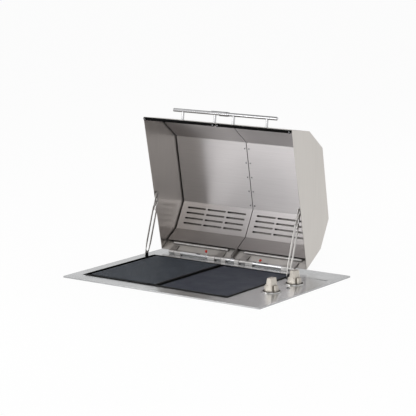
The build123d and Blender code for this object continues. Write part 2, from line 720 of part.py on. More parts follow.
def cover_screws():
    """Screws of the service cover."""
    screws = []
    x = CASING_X1 + COVER_SHEET
    half_row = COVER_LENGTH / 2 - COVER_OVERLAP / 2
    half_column = COVER_HEIGHT / 2 - COVER_OVERLAP / 2
    middle = (COVER_SCREW_COLUMNS - 1) / 2
    for i in range(COVER_SCREW_COLUMNS):
        y = (i - middle) / middle * half_row
        for side in (-1, 1):
            z = DECK_TOP - COVER_DOWN + side * half_column
            shank = rod((x - SMALL_SCREW_LENGTH, y, z), (x, y, z), SMALL_SCREW_RADIUS)
            screws.append(shank + rod((x, y, z), (x + SMALL_SCREW_HEAD, y, z), SMALL_SCREW_HEAD_RADIUS))
    return screws


def small_screws():
    """All small screws: those of the thermostats and those of the service cover."""
    return group(*thermostat_screws_at(KNOB_YS[0]), *thermostat_screws_at(KNOB_YS[1]), *cover_screws())


def thermostats():
    """Two rotary thermostats under the deck, each with a collar, a bore for its spindle and tabs."""
    bodies = []
    body_top = DECK_UNDER - THERMOSTAT_COLLAR
    half = THERMOSTAT_SIDE / 2
    for y in KNOB_YS:
        body = block(KNOB_X - half, KNOB_X + half, y - half, y + half, body_top - THERMOSTAT_HEIGHT, body_top)
        body += rod_z(KNOB_X, y, body_top, DECK_UNDER, THERMOSTAT_COLLAR_RADIUS)
        for i in range(THERMOSTAT_TABS):
            x = thermostat_tab_x(i)
            under = body_top - THERMOSTAT_HEIGHT
            body += block(x - THERMOSTAT_TAB / 2, x + THERMOSTAT_TAB / 2, y - THERMOSTAT_TAB_SHEET / 2,
                          y + THERMOSTAT_TAB_SHEET / 2, thermostat_tab_end(), under)
        bore_low = spindle_low() - SEAT_GAP
        body -= rod_z(KNOB_X, y, bore_low, DECK_UNDER + CUT_OVERRUN, SPINDLE_RADIUS + RUNNING_FIT)
        for screw in thermostat_screws_at(y):
            body -= screw
        bodies.append(body)
    return group(*bodies)


def spindle_low():
    """Lower end of each spindle, inside its thermostat."""
    return DECK_UNDER - SPINDLE_IN_THERMOSTAT


def knob_low():
    """Underside of each knob, just above the flat of its bezel."""
    return DECK_TOP + BEZEL_THICKNESS + SEAT_GAP


def knob_bezels():
    """Round bezels on the deck, each with a raised outer ring and a hole for the spindle."""
    bezels = []
    for y in KNOB_YS:
        flat = rod_z(KNOB_X, y, DECK_TOP, DECK_TOP + BEZEL_THICKNESS, BEZEL_RADIUS)
        ring = rod_z(KNOB_X, y, DECK_TOP, DECK_TOP + BEZEL_RING_HEIGHT, BEZEL_RADIUS)
        ring = fillet(ring.edges().filter_by(GeomType.CIRCLE).sort_by(Axis.Z)[-1], BEZEL_ROUND)
        ring -= rod_z(KNOB_X, y, DECK_TOP - CUT_OVERRUN, DECK_TOP + BEZEL_RING_HEIGHT + CUT_OVERRUN,
                      BEZEL_RADIUS - BEZEL_RING)
        hole = rod_z(KNOB_X, y, DECK_TOP - CUT_OVERRUN, DECK_TOP + BEZEL_RING_HEIGHT + CUT_OVERRUN,
                     SPINDLE_HOLE_RADIUS)
        bezels.append(flat + ring - hole)
    return group(*bezels)


def tapered_bar(x_base, y_base, x_top, y_top, height):
    """Block that narrows upwards, standing on the XY plane."""
    low = RectangleRounded(x_base, y_base, KNOB_EDGE_RADIUS)
    high = Pos(0, 0, height) * RectangleRounded(x_top, y_top, KNOB_EDGE_RADIUS)
    return loft([low.face(), high.face()])


def knob(y):
    """Cross-shaped knob: a tall grip along Y and a low one along X on a round base."""
    base = extrude(Circle(KNOB_BASE_RADIUS), amount=KNOB_BASE_HEIGHT)
    tall = tapered_bar(KNOB_THICK_BASE, KNOB_LONG_BASE, KNOB_THICK_TOP, KNOB_LONG_TOP, KNOB_HEIGHT)
    low = tapered_bar(KNOB_CROSS_LONG_BASE, KNOB_CROSS_THICK_BASE, KNOB_CROSS_LONG_TOP, KNOB_CROSS_THICK_TOP,
                      KNOB_CROSS_HEIGHT)
    shape = base + tall + low
    socket = extrude(Circle(SPINDLE_RADIUS + RUNNING_FIT), amount=KNOB_SOCKET_DEPTH)
    return Pos(KNOB_X, y, knob_low()) * (shape - socket)


def spindle(y):
    """Spindle from the thermostat up into the knob."""
    return rod_z(KNOB_X, y, spindle_low(), knob_low() + KNOB_SOCKET_DEPTH - SEAT_GAP, SPINDLE_RADIUS)


def lamp_bezel():
    """Ring of the indicator lamp with its neck and its holder under the deck."""
    ring = rod_z(LAMP_X, LAMP_Y, DECK_TOP, DECK_TOP + LAMP_RING_HEIGHT, LAMP_RADIUS)
    neck = rod_z(LAMP_X, LAMP_Y, DECK_UNDER, DECK_TOP, LAMP_NECK_RADIUS)
    holder = rod_z(LAMP_X, LAMP_Y, DECK_UNDER - LAMP_BODY_LENGTH, DECK_UNDER, LAMP_BODY_RADIUS)
    well = rod_z(LAMP_X, LAMP_Y, DECK_TOP + LAMP_RING_HEIGHT / 2, DECK_TOP + LAMP_RING_HEIGHT + CUT_OVERRUN,
                 LAMP_RADIUS - LAMP_RING)
    return ring + neck + holder - well


def lamp_lens():
    """Low domed lens that sits in the lamp's ring."""
    radius = LAMP_RADIUS - LAMP_RING - RUNNING_FIT
    floor = DECK_TOP + LAMP_RING_HEIGHT / 2
    ball = (radius ** 2 + LAMP_DOME_RISE ** 2) / (2 * LAMP_DOME_RISE)
    rim = DECK_TOP + LAMP_RING_HEIGHT
    dome = Pos(LAMP_X, LAMP_Y, rim + LAMP_DOME_RISE - ball) * Sphere(ball)
    return dome & rod_z(LAMP_X, LAMP_Y, floor, rim + LAMP_DOME_RISE, radius)


def inlet_place():
    """X and Z of the cable inlet in the rear wall of the casing."""
    return RIGHT - TERMINAL_FROM_RIGHT, DECK_TOP - INLET_DOWN


def cable_inlet_bush():
    """Flanged bush in the rear wall that the mains cable passes through."""
    x, z = inlet_place()
    inside = CASING_Y1 - CASING_SHEET - INLET_INSIDE
    barrel = rod((x, inside, z), (x, CASING_Y1 + INLET_FLANGE, z), INLET_RADIUS)
    flange = rod((x, CASING_Y1, z), (x, CASING_Y1 + INLET_FLANGE, z), INLET_FLANGE_RADIUS)
    outside = CASING_Y1 + INLET_FLANGE + CUT_OVERRUN
    bore = rod((x, inside - CUT_OVERRUN, z), (x, outside, z), INLET_BORE_RADIUS)
    return barrel + flange - bore


def terminal_middle():
    """Centre of the terminal block's foot on the casing floor."""
    return RIGHT - TERMINAL_FROM_RIGHT, REAR - TERMINAL_FROM_REAR, CASING_BOTTOM + CASING_SHEET


def terminal_block():
    """Ceramic block with one through bore and one screw well for each pole."""
    x, y, z = terminal_middle()
    body = block(x - TERMINAL_LENGTH / 2, x + TERMINAL_LENGTH / 2, y - TERMINAL_WIDTH / 2,
                 y + TERMINAL_WIDTH / 2, z, z + TERMINAL_HEIGHT)
    for i in range(TERMINAL_POLES):
        pole_x, _, pole_z = pole_place(i)
        body -= rod((pole_x, y - TERMINAL_WIDTH, pole_z), (pole_x, y + TERMINAL_WIDTH, pole_z),
                    TERMINAL_BORE_RADIUS)
        body -= rod_z(pole_x, y, pole_z, z + TERMINAL_HEIGHT + CUT_OVERRUN, TERMINAL_BORE_RADIUS)
    return body


def service_cover():
    """Cover over the window in the right wall of the casing."""
    middle = DECK_TOP - COVER_DOWN
    cover = block(CASING_X1, CASING_X1 + COVER_SHEET, -COVER_LENGTH / 2, COVER_LENGTH / 2,
                  middle - COVER_HEIGHT / 2, middle + COVER_HEIGHT / 2)
    for screw in cover_screws():
        cover -= screw
    return cover


def wire(*points):
    """One insulated wire along straight runs with rounded corners."""
    path = FilletPolyline(*points, radius=WIRE_BEND_RADIUS)
    start = Vector(*points[0])
    section = Plane(origin=start, z_dir=Vector(*points[1]) - start) * Circle(WIRE_RADIUS)
    return sweep(section, path=path)


def wire_lane_y(index):
    """Y of the lane behind the tub for the wires of one element; the left element has the outer lane."""
    return element_tip_y() + WIRE_LANE_START + (1 - index) * WIRE_LANE_PITCH


def live_wire(index):
    """Wire from the right end of one element to the side of its thermostat."""
    start_x = element_leg_xs(index)[-1]
    lane_y = wire_lane_y(index)
    aisle_x = SHIELD_X + WIRE_AISLE_START + (1 - index) * WIRE_LANE_PITCH
    thermostat_y = KNOB_YS[1 - index]
    return wire(
        (start_x, element_tip_y(), ELEMENT_Z),
        (start_x, lane_y, ELEMENT_Z),
        (aisle_x, lane_y, ELEMENT_Z),
        (aisle_x, thermostat_y, ELEMENT_Z),
        (KNOB_X - THERMOSTAT_SIDE / 2, thermostat_y, ELEMENT_Z),
    )


def pole_place(index):
    """Centre of one pole of the terminal block."""
    x, y, z = terminal_middle()
    pole_x = x + (index - (TERMINAL_POLES - 1) / 2) * TERMINAL_LENGTH / TERMINAL_POLES
    return pole_x, y, z + TERMINAL_HEIGHT / 2


def neutral_wire(index):
    """Wire from the left end of one element to a pole of the terminal block."""
    start_x = element_leg_xs(index)[0]
    lane_y = wire_lane_y(index)
    low_z = ELEMENT_Z - WIRE_DROP
    pole_x, pole_y, pole_z = pole_place(index)
    return wire(
        (start_x, element_tip_y(), ELEMENT_Z),
        (start_x, lane_y, ELEMENT_Z),
        (start_x, lane_y, low_z),
        (pole_x, lane_y, low_z),
        (pole_x, lane_y, pole_z),
        (pole_x, pole_y, pole_z),
    )


def thermostat_tab_x(index):
    """X of one connection tab of a thermostat."""
    return KNOB_X + (index - (THERMOSTAT_TABS - 1) / 2) * THERMOSTAT_SIDE / THERMOSTAT_TABS


def thermostat_tab_end():
    """Height of the lower ends of the tabs."""
    return DECK_UNDER - THERMOSTAT_COLLAR - THERMOSTAT_HEIGHT - THERMOSTAT_TAB


def supply_wires():
    """Wire from the last pole to the rear thermostat, and the link from there to the front one."""
    front_y, rear_y = KNOB_YS
    pole_x, pole_y, pole_z = pole_place(TERMINAL_POLES - 1)
    tab_x = thermostat_tab_x(THERMOSTAT_TABS - 1)
    tab_z = thermostat_tab_end()
    link_x = thermostat_tab_x(1)
    link_z = tab_z - WIRE_LINK_DROP
    supply = wire((pole_x, pole_y, pole_z), (pole_x, rear_y, pole_z), (tab_x, rear_y, pole_z),
                  (tab_x, rear_y, tab_z))
    link = wire((link_x, rear_y, tab_z), (link_x, rear_y, link_z), (link_x, front_y, link_z),
                (link_x, front_y, tab_z))
    return supply, link


def wiring_loom():
    """All wires: from the elements, from the terminal block and between the thermostats."""
    pairs = [solid for index in range(2) for solid in (live_wire(index), neutral_wire(index))]
    return group(*pairs, *supply_wires())


# Drip tray
def drip_tray():
    """Tray of five welded sheets, with a fascia that covers its mouth in the casing and a pull lip."""
    x0 = TRAY_X - TRAY_WIDTH / 2
    x1 = TRAY_X + TRAY_WIDTH / 2
    y0 = CASING_Y0 - SEAT_GAP
    y1 = y0 + TRAY_DEPTH
    floor_top = TRAY_BOTTOM + TRAY_SHEET
    floor = block(x0, x1, y0, y1, TRAY_BOTTOM, floor_top)
    left = block(x0, x0 + TRAY_SHEET, y0, y1, floor_top, TRAY_TOP)
    right = block(x1 - TRAY_SHEET, x1, y0, y1, floor_top, TRAY_TOP)
    front = block(x0 + TRAY_SHEET, x1 - TRAY_SHEET, y0, y0 + TRAY_SHEET, floor_top, TRAY_TOP)
    rear = block(x0 + TRAY_SHEET, x1 - TRAY_SHEET, y1 - TRAY_SHEET, y1, floor_top, TRAY_TOP)
    fascia = block(x0 - TRAY_FASCIA_OVERLAP, x1 + TRAY_FASCIA_OVERLAP, y0 - TRAY_FASCIA_SHEET, y0,
                   TRAY_BOTTOM - TRAY_FASCIA_OVERLAP / 2, TRAY_TOP + TRAY_FASCIA_OVERLAP / 2)
    pull = block(TRAY_X - TRAY_PULL_LENGTH / 2, TRAY_X + TRAY_PULL_LENGTH / 2,
                 y0 - TRAY_FASCIA_SHEET - TRAY_PULL_DEPTH, y0 - TRAY_FASCIA_SHEET,
                 TRAY_TOP - TRAY_PULL_SHEET, TRAY_TOP)
    return group(floor, left, right, front, rear, fascia, pull)


def tray_runners():
    """Two runners on the casing floor, each a shelf under the tray and a guide strip beside it."""
    rails = []
    y0 = CASING_Y0 + CASING_SHEET
    y1 = CASING_Y0 - SEAT_GAP + TRAY_DEPTH
    floor = CASING_BOTTOM + CASING_SHEET
    for side in (-1, 1):
        edge = TRAY_X + side * (TRAY_WIDTH / 2 + RUNNER_SIDE_PLAY)
        shelf_in = edge - side * RUNNER_WIDTH
        guide_out = edge + side * RUNNER_GUIDE
        shelf_x0, shelf_x1 = sorted((shelf_in, edge))
        guide_x0, guide_x1 = sorted((edge, guide_out))
        rails.append(block(shelf_x0, shelf_x1, y0, y1, floor, TRAY_BOTTOM - SEAT_GAP))
        rails.append(block(guide_x0, guide_x1, y0, y1, floor, TRAY_BOTTOM + RUNNER_GUIDE_RISE))
    return group(*rails)


# Bench clamps
def clamp_places():
    """Side and Y of each bench clamp."""
    return [(side, end * CLAMP_FROM_MIDDLE) for side in (-1, 1) for end in (-1, 1)]


def clamp_screw_solid(side, y):
    """Screw with a pad on top that presses against the underside of the bench."""
    x = side * (CASING_X1 + CLAMP_ARM * CLAMP_SCREW_SHARE)
    arm_z = DECK_TOP - CLAMP_DOWN
    screw = rod_z(x, y, arm_z - CLAMP_SHEET, -BENCH_THICKNESS, CLAMP_SCREW_RADIUS)
    screw += rod_z(x, y, arm_z - CLAMP_SHEET - CLAMP_SCREW_HEAD, arm_z - CLAMP_SHEET, CLAMP_SCREW_HEAD_RADIUS)
    return screw + rod_z(x, y, -BENCH_THICKNESS - CLAMP_PAD, -BENCH_THICKNESS, CLAMP_PAD_RADIUS)


def bench_clamps():
    """Angle brackets on the side walls of the casing."""
    brackets = []
    arm_z = DECK_TOP - CLAMP_DOWN
    for side, y in clamp_places():
        wall = side * CASING_X1
        leg_out = wall + side * CLAMP_SHEET
        arm_out = wall + side * CLAMP_ARM
        leg = block(min(wall, leg_out), max(wall, leg_out), y - CLAMP_WIDTH / 2, y + CLAMP_WIDTH / 2,
                    arm_z - CLAMP_LEG, arm_z)
        arm = block(min(wall, arm_out), max(wall, arm_out), y - CLAMP_WIDTH / 2, y + CLAMP_WIDTH / 2,
                    arm_z - CLAMP_SHEET, arm_z)
        brackets.append(leg + arm - clamp_screw_solid(side, y))
    return group(*brackets)


def clamp_screws():
    """The four clamp screws."""
    return group(*[clamp_screw_solid(side, y) for side, y in clamp_places()])


# Hinge line on the deck, for one side; distances are from the seam
INNER_BLOCK_START = CENTRE_TUBE_HALF
INNER_KNUCKLE_START = INNER_BLOCK_START + INNER_BLOCK_LENGTH
MIDDLE_BLOCK_START = INNER_KNUCKLE_START + INNER_KNUCKLE_ROOM
HOUSING_START = MIDDLE_BLOCK_START + MIDDLE_BLOCK_LENGTH
OUTER_KNUCKLE_START = HOOD_HALF_WIDTH - OUTER_KNUCKLE_FROM_END - OUTER_KNUCKLE_ROOM
OUTER_BLOCK_START = OUTER_KNUCKLE_START - OUTER_BLOCK_LENGTH
HOUSING_TUBE_LENGTH = OUTER_BLOCK_START - HOUSING_START
LEVER_START = HOUSING_START + LEVER_FROM_BLOCK
BLOCK_SPANS = (
    (INNER_BLOCK_START, INNER_BLOCK_LENGTH),
    (MIDDLE_BLOCK_START, MIDDLE_BLOCK_LENGTH),
    (OUTER_BLOCK_START, OUTER_BLOCK_LENGTH),
)


def hinge_screw_list():
    """Screws from below the deck, two in each long block and one in each short one."""
    screws = []
    for side in (-1, 1):
        for start, length in BLOCK_SPANS:
            ends = (start + HINGE_SCREW_INSET, start + length - HINGE_SCREW_INSET)
            for distance in ends:
                x = SEAM_X + side * distance
                shank = rod_z(x, HINGE_Y, DECK_UNDER, DECK_TOP + HINGE_SCREW_REACH, HINGE_SCREW_RADIUS)
                head = rod_z(x, HINGE_Y, DECK_UNDER - HINGE_SCREW_HEAD, DECK_UNDER, HINGE_SCREW_HEAD_RADIUS)
                screws.append(shank + head)
    return screws


def hinge_blocks():
    """Six blocks on the deck with round tops, bored for the pins and bolts."""
    blocks = []
    screws = hinge_screw_list()
    for side in (-1, 1):
        for start, length in BLOCK_SPANS:
            x0, x1 = side_span(side, start, start + length)
            half = HINGE_BLOCK_RADIUS
            solid = block(x0, x1, HINGE_Y - half, HINGE_Y + half, DECK_TOP, HINGE_Z)
            solid += rod_x(x0, x1, HINGE_Y, HINGE_Z, HINGE_BLOCK_RADIUS)
            bore_radius = HINGE_PIN_RADIUS + RUNNING_FIT
            solid -= rod_x(x0 - CUT_OVERRUN, x1 + CUT_OVERRUN, HINGE_Y, HINGE_Z, bore_radius)
            for screw in screws:
                if x0 < screw.center().X < x1:
                    solid -= screw
            blocks.append(solid)
    return group(*blocks)


def lever_reach(side):
    """Lever vector from the bolt's axis to the centre of the grip."""
    return Vector(*(LEFT_LEVER_REACH if side < 0 else RIGHT_LEVER_REACH))


def lever_root(side):
    """Point on the bolt's axis where the lever starts."""
    return Vector(SEAM_X + side * LEVER_START, HINGE_Y, HINGE_Z)


def hinge_tubes():
    """Two tubes that house the release bolts, each slotted for its lever, and the short centre tube."""
    tubes = []
    for side in (-1, 1):
        x0, x1 = side_span(side, HOUSING_START, HOUSING_START + HOUSING_TUBE_LENGTH)
        tube = rod_x(x0, x1, HINGE_Y, HINGE_Z, HINGE_TUBE_RADIUS)
        tube -= rod_x(x0 - CUT_OVERRUN, x1 + CUT_OVERRUN, HINGE_Y, HINGE_Z, HINGE_TUBE_BORE_RADIUS)
        root = lever_root(side)
        tip = lever_reach(side)
        rise = math.hypot(tip.Y, tip.Z)
        lean = side * tip.X / rise * HINGE_TUBE_RADIUS
        room = LEVER_SLOT_WIDTH * tip.length / rise
        slot_length = BOLT_TRAVEL + abs(lean) + room
        start = root.X + side * (min(lean, 0) - room / 2)
        middle = start + side * slot_length / 2
        slot_plane = Plane(origin=(middle, HINGE_Y, HINGE_Z), x_dir=(1, 0, 0), z_dir=(0, tip.Y, tip.Z))
        slot = SlotOverall(slot_length, LEVER_SLOT_WIDTH)
        tube -= extrude(slot_plane * slot, amount=HINGE_TUBE_RADIUS + CUT_OVERRUN)
        tubes.append(tube)
    x0, x1 = side_span(1, -CENTRE_TUBE_HALF, CENTRE_TUBE_HALF)
    tubes.append(rod_x(x0, x1, HINGE_Y, HINGE_Z, HINGE_TUBE_RADIUS))
    return group(*tubes)


def outer_hinge_pins():
    """Fixed pins that stand out of the outer blocks into the outer knuckles."""
    pins = []
    for side in (-1, 1):
        inner = OUTER_KNUCKLE_START - OUTER_PIN_SEAT
        outer = OUTER_KNUCKLE_START + OUTER_KNUCKLE_ROOM + OUTER_PIN_TAIL
        x0, x1 = side_span(side, inner, outer)
        pins.append(rod_x(x0, x1, HINGE_Y, HINGE_Z, HINGE_PIN_RADIUS))
    return group(*pins)


def hinge_bolt(side):
    """Release bolt through the inner knuckle, with its lever."""
    near = INNER_KNUCKLE_START - BOLT_ENGAGEMENT
    x0, x1 = side_span(side, near, HOUSING_START + BOLT_TAIL)
    root = lever_root(side)
    tip = root + lever_reach(side)
    bolt = rod_x(x0, x1, HINGE_Y, HINGE_Z, HINGE_PIN_RADIUS)
    return bolt + rod(tuple(root), tuple(tip), LEVER_RADIUS)


def bolt_grip(side):
    """Grip moulded on the end of one lever."""
    middle = lever_root(side) + lever_reach(side)
    half = lever_reach(side).normalized() * (GRIP_LENGTH / 2)
    grip = rod(tuple(middle - half), tuple(middle + half), GRIP_RADIUS)
    grip = fillet(grip.edges().filter_by(GeomType.CIRCLE), GRIP_RADIUS * GRIP_ROUND_SHARE)
    return grip - hinge_bolt(side)


# Stays
def stay_reach():
    """Length and lean of the open stays, from the pivot to the stud, in the YZ plane."""
    stud = (HOOD_PLACE * Pos(0, -STUD_ALONG, STUD_UP)).position
    rise = stud.Z - STAY_Z
    run = stud.Y - STAY_Y
    return math.hypot(run, rise), math.degrees(math.atan2(rise, run))


def slot_between(start, end, width):
    """Round-ended slot face between two points."""
    dx, dy = end[0] - start[0], end[1] - start[1]
    turn = math.degrees(math.atan2(dy, dx))
    middle = Pos((start[0] + end[0]) / 2, (start[1] + end[1]) / 2)
    return middle * Rot(0, 0, turn) * SlotOverall(math.hypot(dx, dy) + width, width)


def stay_arm(x):
    """Slotted flat arm that widens from its foot, with a stepped latch slot at its top."""
    length, lean = stay_reach()
    corner = STAY_WIDTH * STAY_CORNER_SHARE
    shoulder = STAY_WIDE_START + corner
    wide_half = STAY_WIDTH / 2
    slot_end = length - STAY_LATCH_LENGTH
    wide_end = slot_end + STAY_SLOT_WIDTH
    top = length + STAY_TOP_PAST_STUD
    face = Circle(STAY_FOOT_RADIUS)
    face += make_face(Polyline(
        (0, -STAY_FOOT_RADIUS), (STAY_WIDE_START, -wide_half), (shoulder, -wide_half),
        (shoulder, wide_half), (STAY_WIDE_START, wide_half), (0, STAY_FOOT_RADIUS), close=True))
    face += Pos((STAY_WIDE_START + wide_end) / 2, 0) * RectangleRounded(
        wide_end - STAY_WIDE_START, STAY_WIDTH, corner)
    face += Pos((slot_end + top) / 2, 0) * RectangleRounded(top - slot_end, STAY_HEAD_WIDTH, corner)
    slot_half = STAY_SLOT_WIDTH / 2
    face -= slot_between((STAY_SLOT_START + slot_half, 0), (slot_end - slot_half, 0), STAY_SLOT_WIDTH)
    latch_start = slot_end - slot_half
    latch = [
        (latch_start + along * (length - latch_start), aside * STAY_LATCH_STEP)
        for along, aside in STAY_LATCH_SHARES
    ]
    for start, end in zip(latch, latch[1:]):
        face -= slot_between(start, end, STAY_LATCH_SLOT_WIDTH)
    face -= Circle(PIVOT_PIN_RADIUS + RUNNING_FIT)
    arm = extrude(face, amount=STAY_SHEET)
    raised = Plane(
        origin=(x, STAY_Y, STAY_Z),
        x_dir=(0, math.cos(math.radians(lean)), math.sin(math.radians(lean))),
        z_dir=(1, 0, 0),
    )
    return raised * arm


def stay_bracket(x, foot_top, foot_x0):
    """Angle bracket beside one stay, and its pivot pin through the arm."""
    ear_x0 = x + STAY_SHEET + SEAT_GAP
    ear_x1 = ear_x0 + EAR_SHEET
    ear = block(ear_x0, ear_x1, STAY_Y - EAR_WIDTH / 2, STAY_Y + EAR_WIDTH / 2, foot_top,
                STAY_Z + EAR_ABOVE_PIVOT)
    foot = block(foot_x0, foot_x0 + FOOT_WIDTH, STAY_Y - FOOT_DEPTH / 2, STAY_Y + FOOT_DEPTH / 2, foot_top,
                 foot_top + EAR_FOOT_SHEET)
    pin_x0 = x - SEAT_GAP - PIVOT_HEAD
    pin = rod_x(pin_x0, ear_x1, STAY_Y, STAY_Z, PIVOT_PIN_RADIUS)
    pin += rod_x(pin_x0, pin_x0 + PIVOT_HEAD, STAY_Y, STAY_Z, PIVOT_HEAD_RADIUS)
    pin += rod_x(ear_x1, ear_x1 + PIVOT_HEAD, STAY_Y, STAY_Z, PIVOT_HEAD_RADIUS)
    return (ear + foot - pin), pin


def stay_brackets():
    """Both brackets with their pivot pins: the left one on the ledge, the right one on the deck."""
    left = stay_bracket(LEFT_STAY_X, LEDGE_TOP, PLATES_X0 - FRAME_PLAY - FOOT_WIDTH)
    right = stay_bracket(RIGHT_STAY_X, DECK_TOP, RIGHT_STAY_X + STAY_SHEET + SEAT_GAP)
    return group(*left, *right)


# Hood, modelled closed with its rear rim edge on the X axis, then swung open about the hinge
HOOD_PANELS = ("lower", "slotted", "back", "top", "front")
HOOD_POINTS = [(-along * HOOD_LENGTH, up * HOOD_HEIGHT) for along, up in HOOD_OUTLINE_SHARES]
HOOD_PLACE = (
    Pos(0, HINGE_Y, HINGE_Z) * Rot(-HOOD_OPENING_ANGLE, 0, 0) * Pos(0, -HINGE_BEHIND_RIM, HINGE_BELOW_RIM)
)


def place_hood(shape):
    """Move a piece of the hood from its closed modelling place to the open hood on the deck."""
    return HOOD_PLACE * shape


def panel_run(name):
    """Number of the outline's run that makes one panel, named as on the open hood."""
    return HOOD_PANELS.index(name)


def run_frame(run):
    """Start, unit direction, unit inward normal and length of one run of the outline."""
    (y0, z0), (y1, z1) = HOOD_POINTS[run], HOOD_POINTS[run + 1]
    length = math.hypot(y1 - y0, z1 - z0)
    dy, dz = (y1 - y0) / length, (z1 - z0) / length
    return (y0, z0), (dy, dz), (-dz, dy), length


def on_run(run, along, inset):
    """(y, z) of a point a given way along one run and inside it."""
    (y0, z0), (dy, dz), (ny, nz), _ = run_frame(run)
    return y0 + dy * along + ny * inset, z0 + dz * along + nz * inset


def run_plane(run, inset):
    """Plane on one run of the hood: x along X, y along the run, z inwards."""
    y, z = on_run(run, 0, inset)
    _, (dy, dz), (ny, nz), _ = run_frame(run)
    return Plane(origin=(0, y, z), x_dir=(1, 0, 0), z_dir=(0, ny, nz))


def inset_corner(run, inset):
    """Where one run and the next meet when both are moved inwards."""
    y0, z0 = on_run(run, 0, inset)
    y1, z1 = on_run(run + 1, 0, inset)
    _, (ay, az), _, _ = run_frame(run)
    _, (by, bz), _, _ = run_frame(run + 1)
    along = ((y1 - y0) * bz - (z1 - z0) * by) / (ay * bz - az * by)
    return y0 + ay * along, z0 + az * along


def inset_at_height(run, inset, height):
    """Point of one run, moved inwards, at a given height over the rim plane."""
    y0, z0 = on_run(run, 0, inset)
    _, (dy, dz), _, _ = run_frame(run)
    along = (height - z0) / dz
    return y0 + dy * along, height


def hood_path(inset, start, end):
    """The outline moved inwards, with given end points."""
    last = panel_run("front")
    return [start] + [inset_corner(run, inset) for run in range(last)] + [end]


def bent_sheet(outer, inner, bend_radius, sheet, x0, x1):
    """Folded sheet between two paths, with round bends."""
    bends = len(outer[1:-1])
    radii = [0] + [bend_radius + sheet] * bends + [0, 0] + [bend_radius] * bends + [0]
    return prism_x(outer + inner[::-1], radii, x0, x1)


def seam_flange(side):
    """Edge of the skin folded inwards at the seam, from the hinge up to the liner."""
    lower = panel_run("lower")
    height = LINER_ABOVE_HINGE - SEAT_GAP
    outline = [
        inset_at_height(lower, 0, 0),
        inset_at_height(lower, SEAM_FLANGE_DEPTH, 0),
        on_run(lower, height, SEAM_FLANGE_DEPTH),
        on_run(lower, height, 0),
    ]
    x0, x1 = side_span(side, SEAM_HALF_GAP, SEAM_HALF_GAP + HOOD_SHEET)
    return prism_x(outline, [0] * len(outline), x0, x1)


def hood_skin(side):
    """Outer folded skin of one half."""
    first, last = panel_run("lower"), panel_run("front")
    outer = hood_path(0, HOOD_POINTS[0], HOOD_POINTS[-1])
    inner = hood_path(HOOD_SHEET, inset_at_height(first, HOOD_SHEET, 0), inset_at_height(last, HOOD_SHEET, 0))
    x0, x1 = side_span(side, SEAM_HALF_GAP, HOOD_HALF_WIDTH - HOOD_SHEET)
    sheet = bent_sheet(outer, inner, HOOD_BEND_RADIUS, HOOD_SHEET, x0, x1)
    return place_hood(sheet + seam_flange(side))


def hood_end_panel(side):
    """Flat end panel of one half."""
    bends = len(HOOD_POINTS[1:-1])
    radii = [0] + [HOOD_BEND_RADIUS + HOOD_SHEET] * bends + [0]
    x0, x1 = side_span(side, HOOD_HALF_WIDTH - HOOD_SHEET, HOOD_HALF_WIDTH)
    return place_hood(prism_x(HOOD_POINTS, radii, x0, x1))


def liner_end_points(inset):
    """Where the liner starts above the hinge and ends above the front rim."""
    first, last = panel_run("lower"), panel_run("front")
    return on_run(first, LINER_ABOVE_HINGE, inset), inset_at_height(last, inset, LINER_ABOVE_RIM)


def hood_liner(side):
    """Inner folded liner with its slots and, at the seam, a folded web out to the skin."""
    start, end = liner_end_points(LINER_INSET)
    outer = hood_path(LINER_INSET, start, end)
    start, end = liner_end_points(LINER_INSET + LINER_SHEET)
    inner = hood_path(LINER_INSET + LINER_SHEET, start, end)
    x0, x1 = side_span(side, SEAM_HALF_GAP, HOOD_HALF_WIDTH - LINER_SIDE_GAP)
    liner = bent_sheet(outer, inner, LINER_BEND_RADIUS, LINER_SHEET, x0, x1)
    start, end = liner_end_points(HOOD_SHEET)
    skin_side = hood_path(HOOD_SHEET, start, end)
    w0, w1 = side_span(side, SEAM_HALF_GAP, SEAM_HALF_GAP + LINER_SHEET)
    web_outer_bend = HOOD_BEND_RADIUS - LINER_SHEET
    liner += bent_sheet(skin_side, inner, LINER_BEND_RADIUS, web_outer_bend, w0, w1)
    slot_run = panel_run("slotted")
    plane = run_plane(slot_run, LINER_INSET - CUT_OVERRUN)
    run_length = run_frame(slot_run)[3]
    row_width = HOOD_HALF_WIDTH - LINER_SLOT_NEAR_SEAM - LINER_SLOT_NEAR_END
    slot_pitch = (row_width + LINER_SLOT_GAP) / LINER_SLOT_COLUMNS
    slot_length = slot_pitch - LINER_SLOT_GAP
    for column in range(LINER_SLOT_COLUMNS):
        distance = LINER_SLOT_NEAR_SEAM + slot_length / 2 + column * slot_pitch
        for share in LINER_SLOT_ROW_SHARES:
            spot = Pos(SEAM_X + side * distance, share * run_length)
            slot = spot * SlotOverall(slot_length, LINER_SLOT_WIDTH)
            liner -= extrude(plane * slot, amount=LINER_SHEET + 2 * CUT_OVERRUN)
    for rivet in seam_rivets(side):
        liner -= rivet
    return place_hood(liner)


def seam_rivets(side):
    """Rivets beside the seam through the upright panel of the liner, not yet placed."""
    rivet_run = panel_run("back")
    length = run_frame(rivet_run)[3]
    plane = run_plane(rivet_run, LINER_INSET)
    head_radius = RIVET_RADIUS * RIVET_HEAD_SHARE
    rivets = []
    for share in RIVET_ROW_SHARES:
        spot = plane * Pos(SEAM_X + side * RIVET_FROM_SEAM, share * length)
        shank = spot * extrude(Circle(RIVET_RADIUS), amount=LINER_SHEET)
        tail = spot * extrude(Circle(head_radius), amount=-RIVET_HEAD)
        head = spot * Pos(0, 0, LINER_SHEET) * extrude(Circle(head_radius), amount=RIVET_HEAD)
        rivets.append(shank + head + tail)
    return rivets


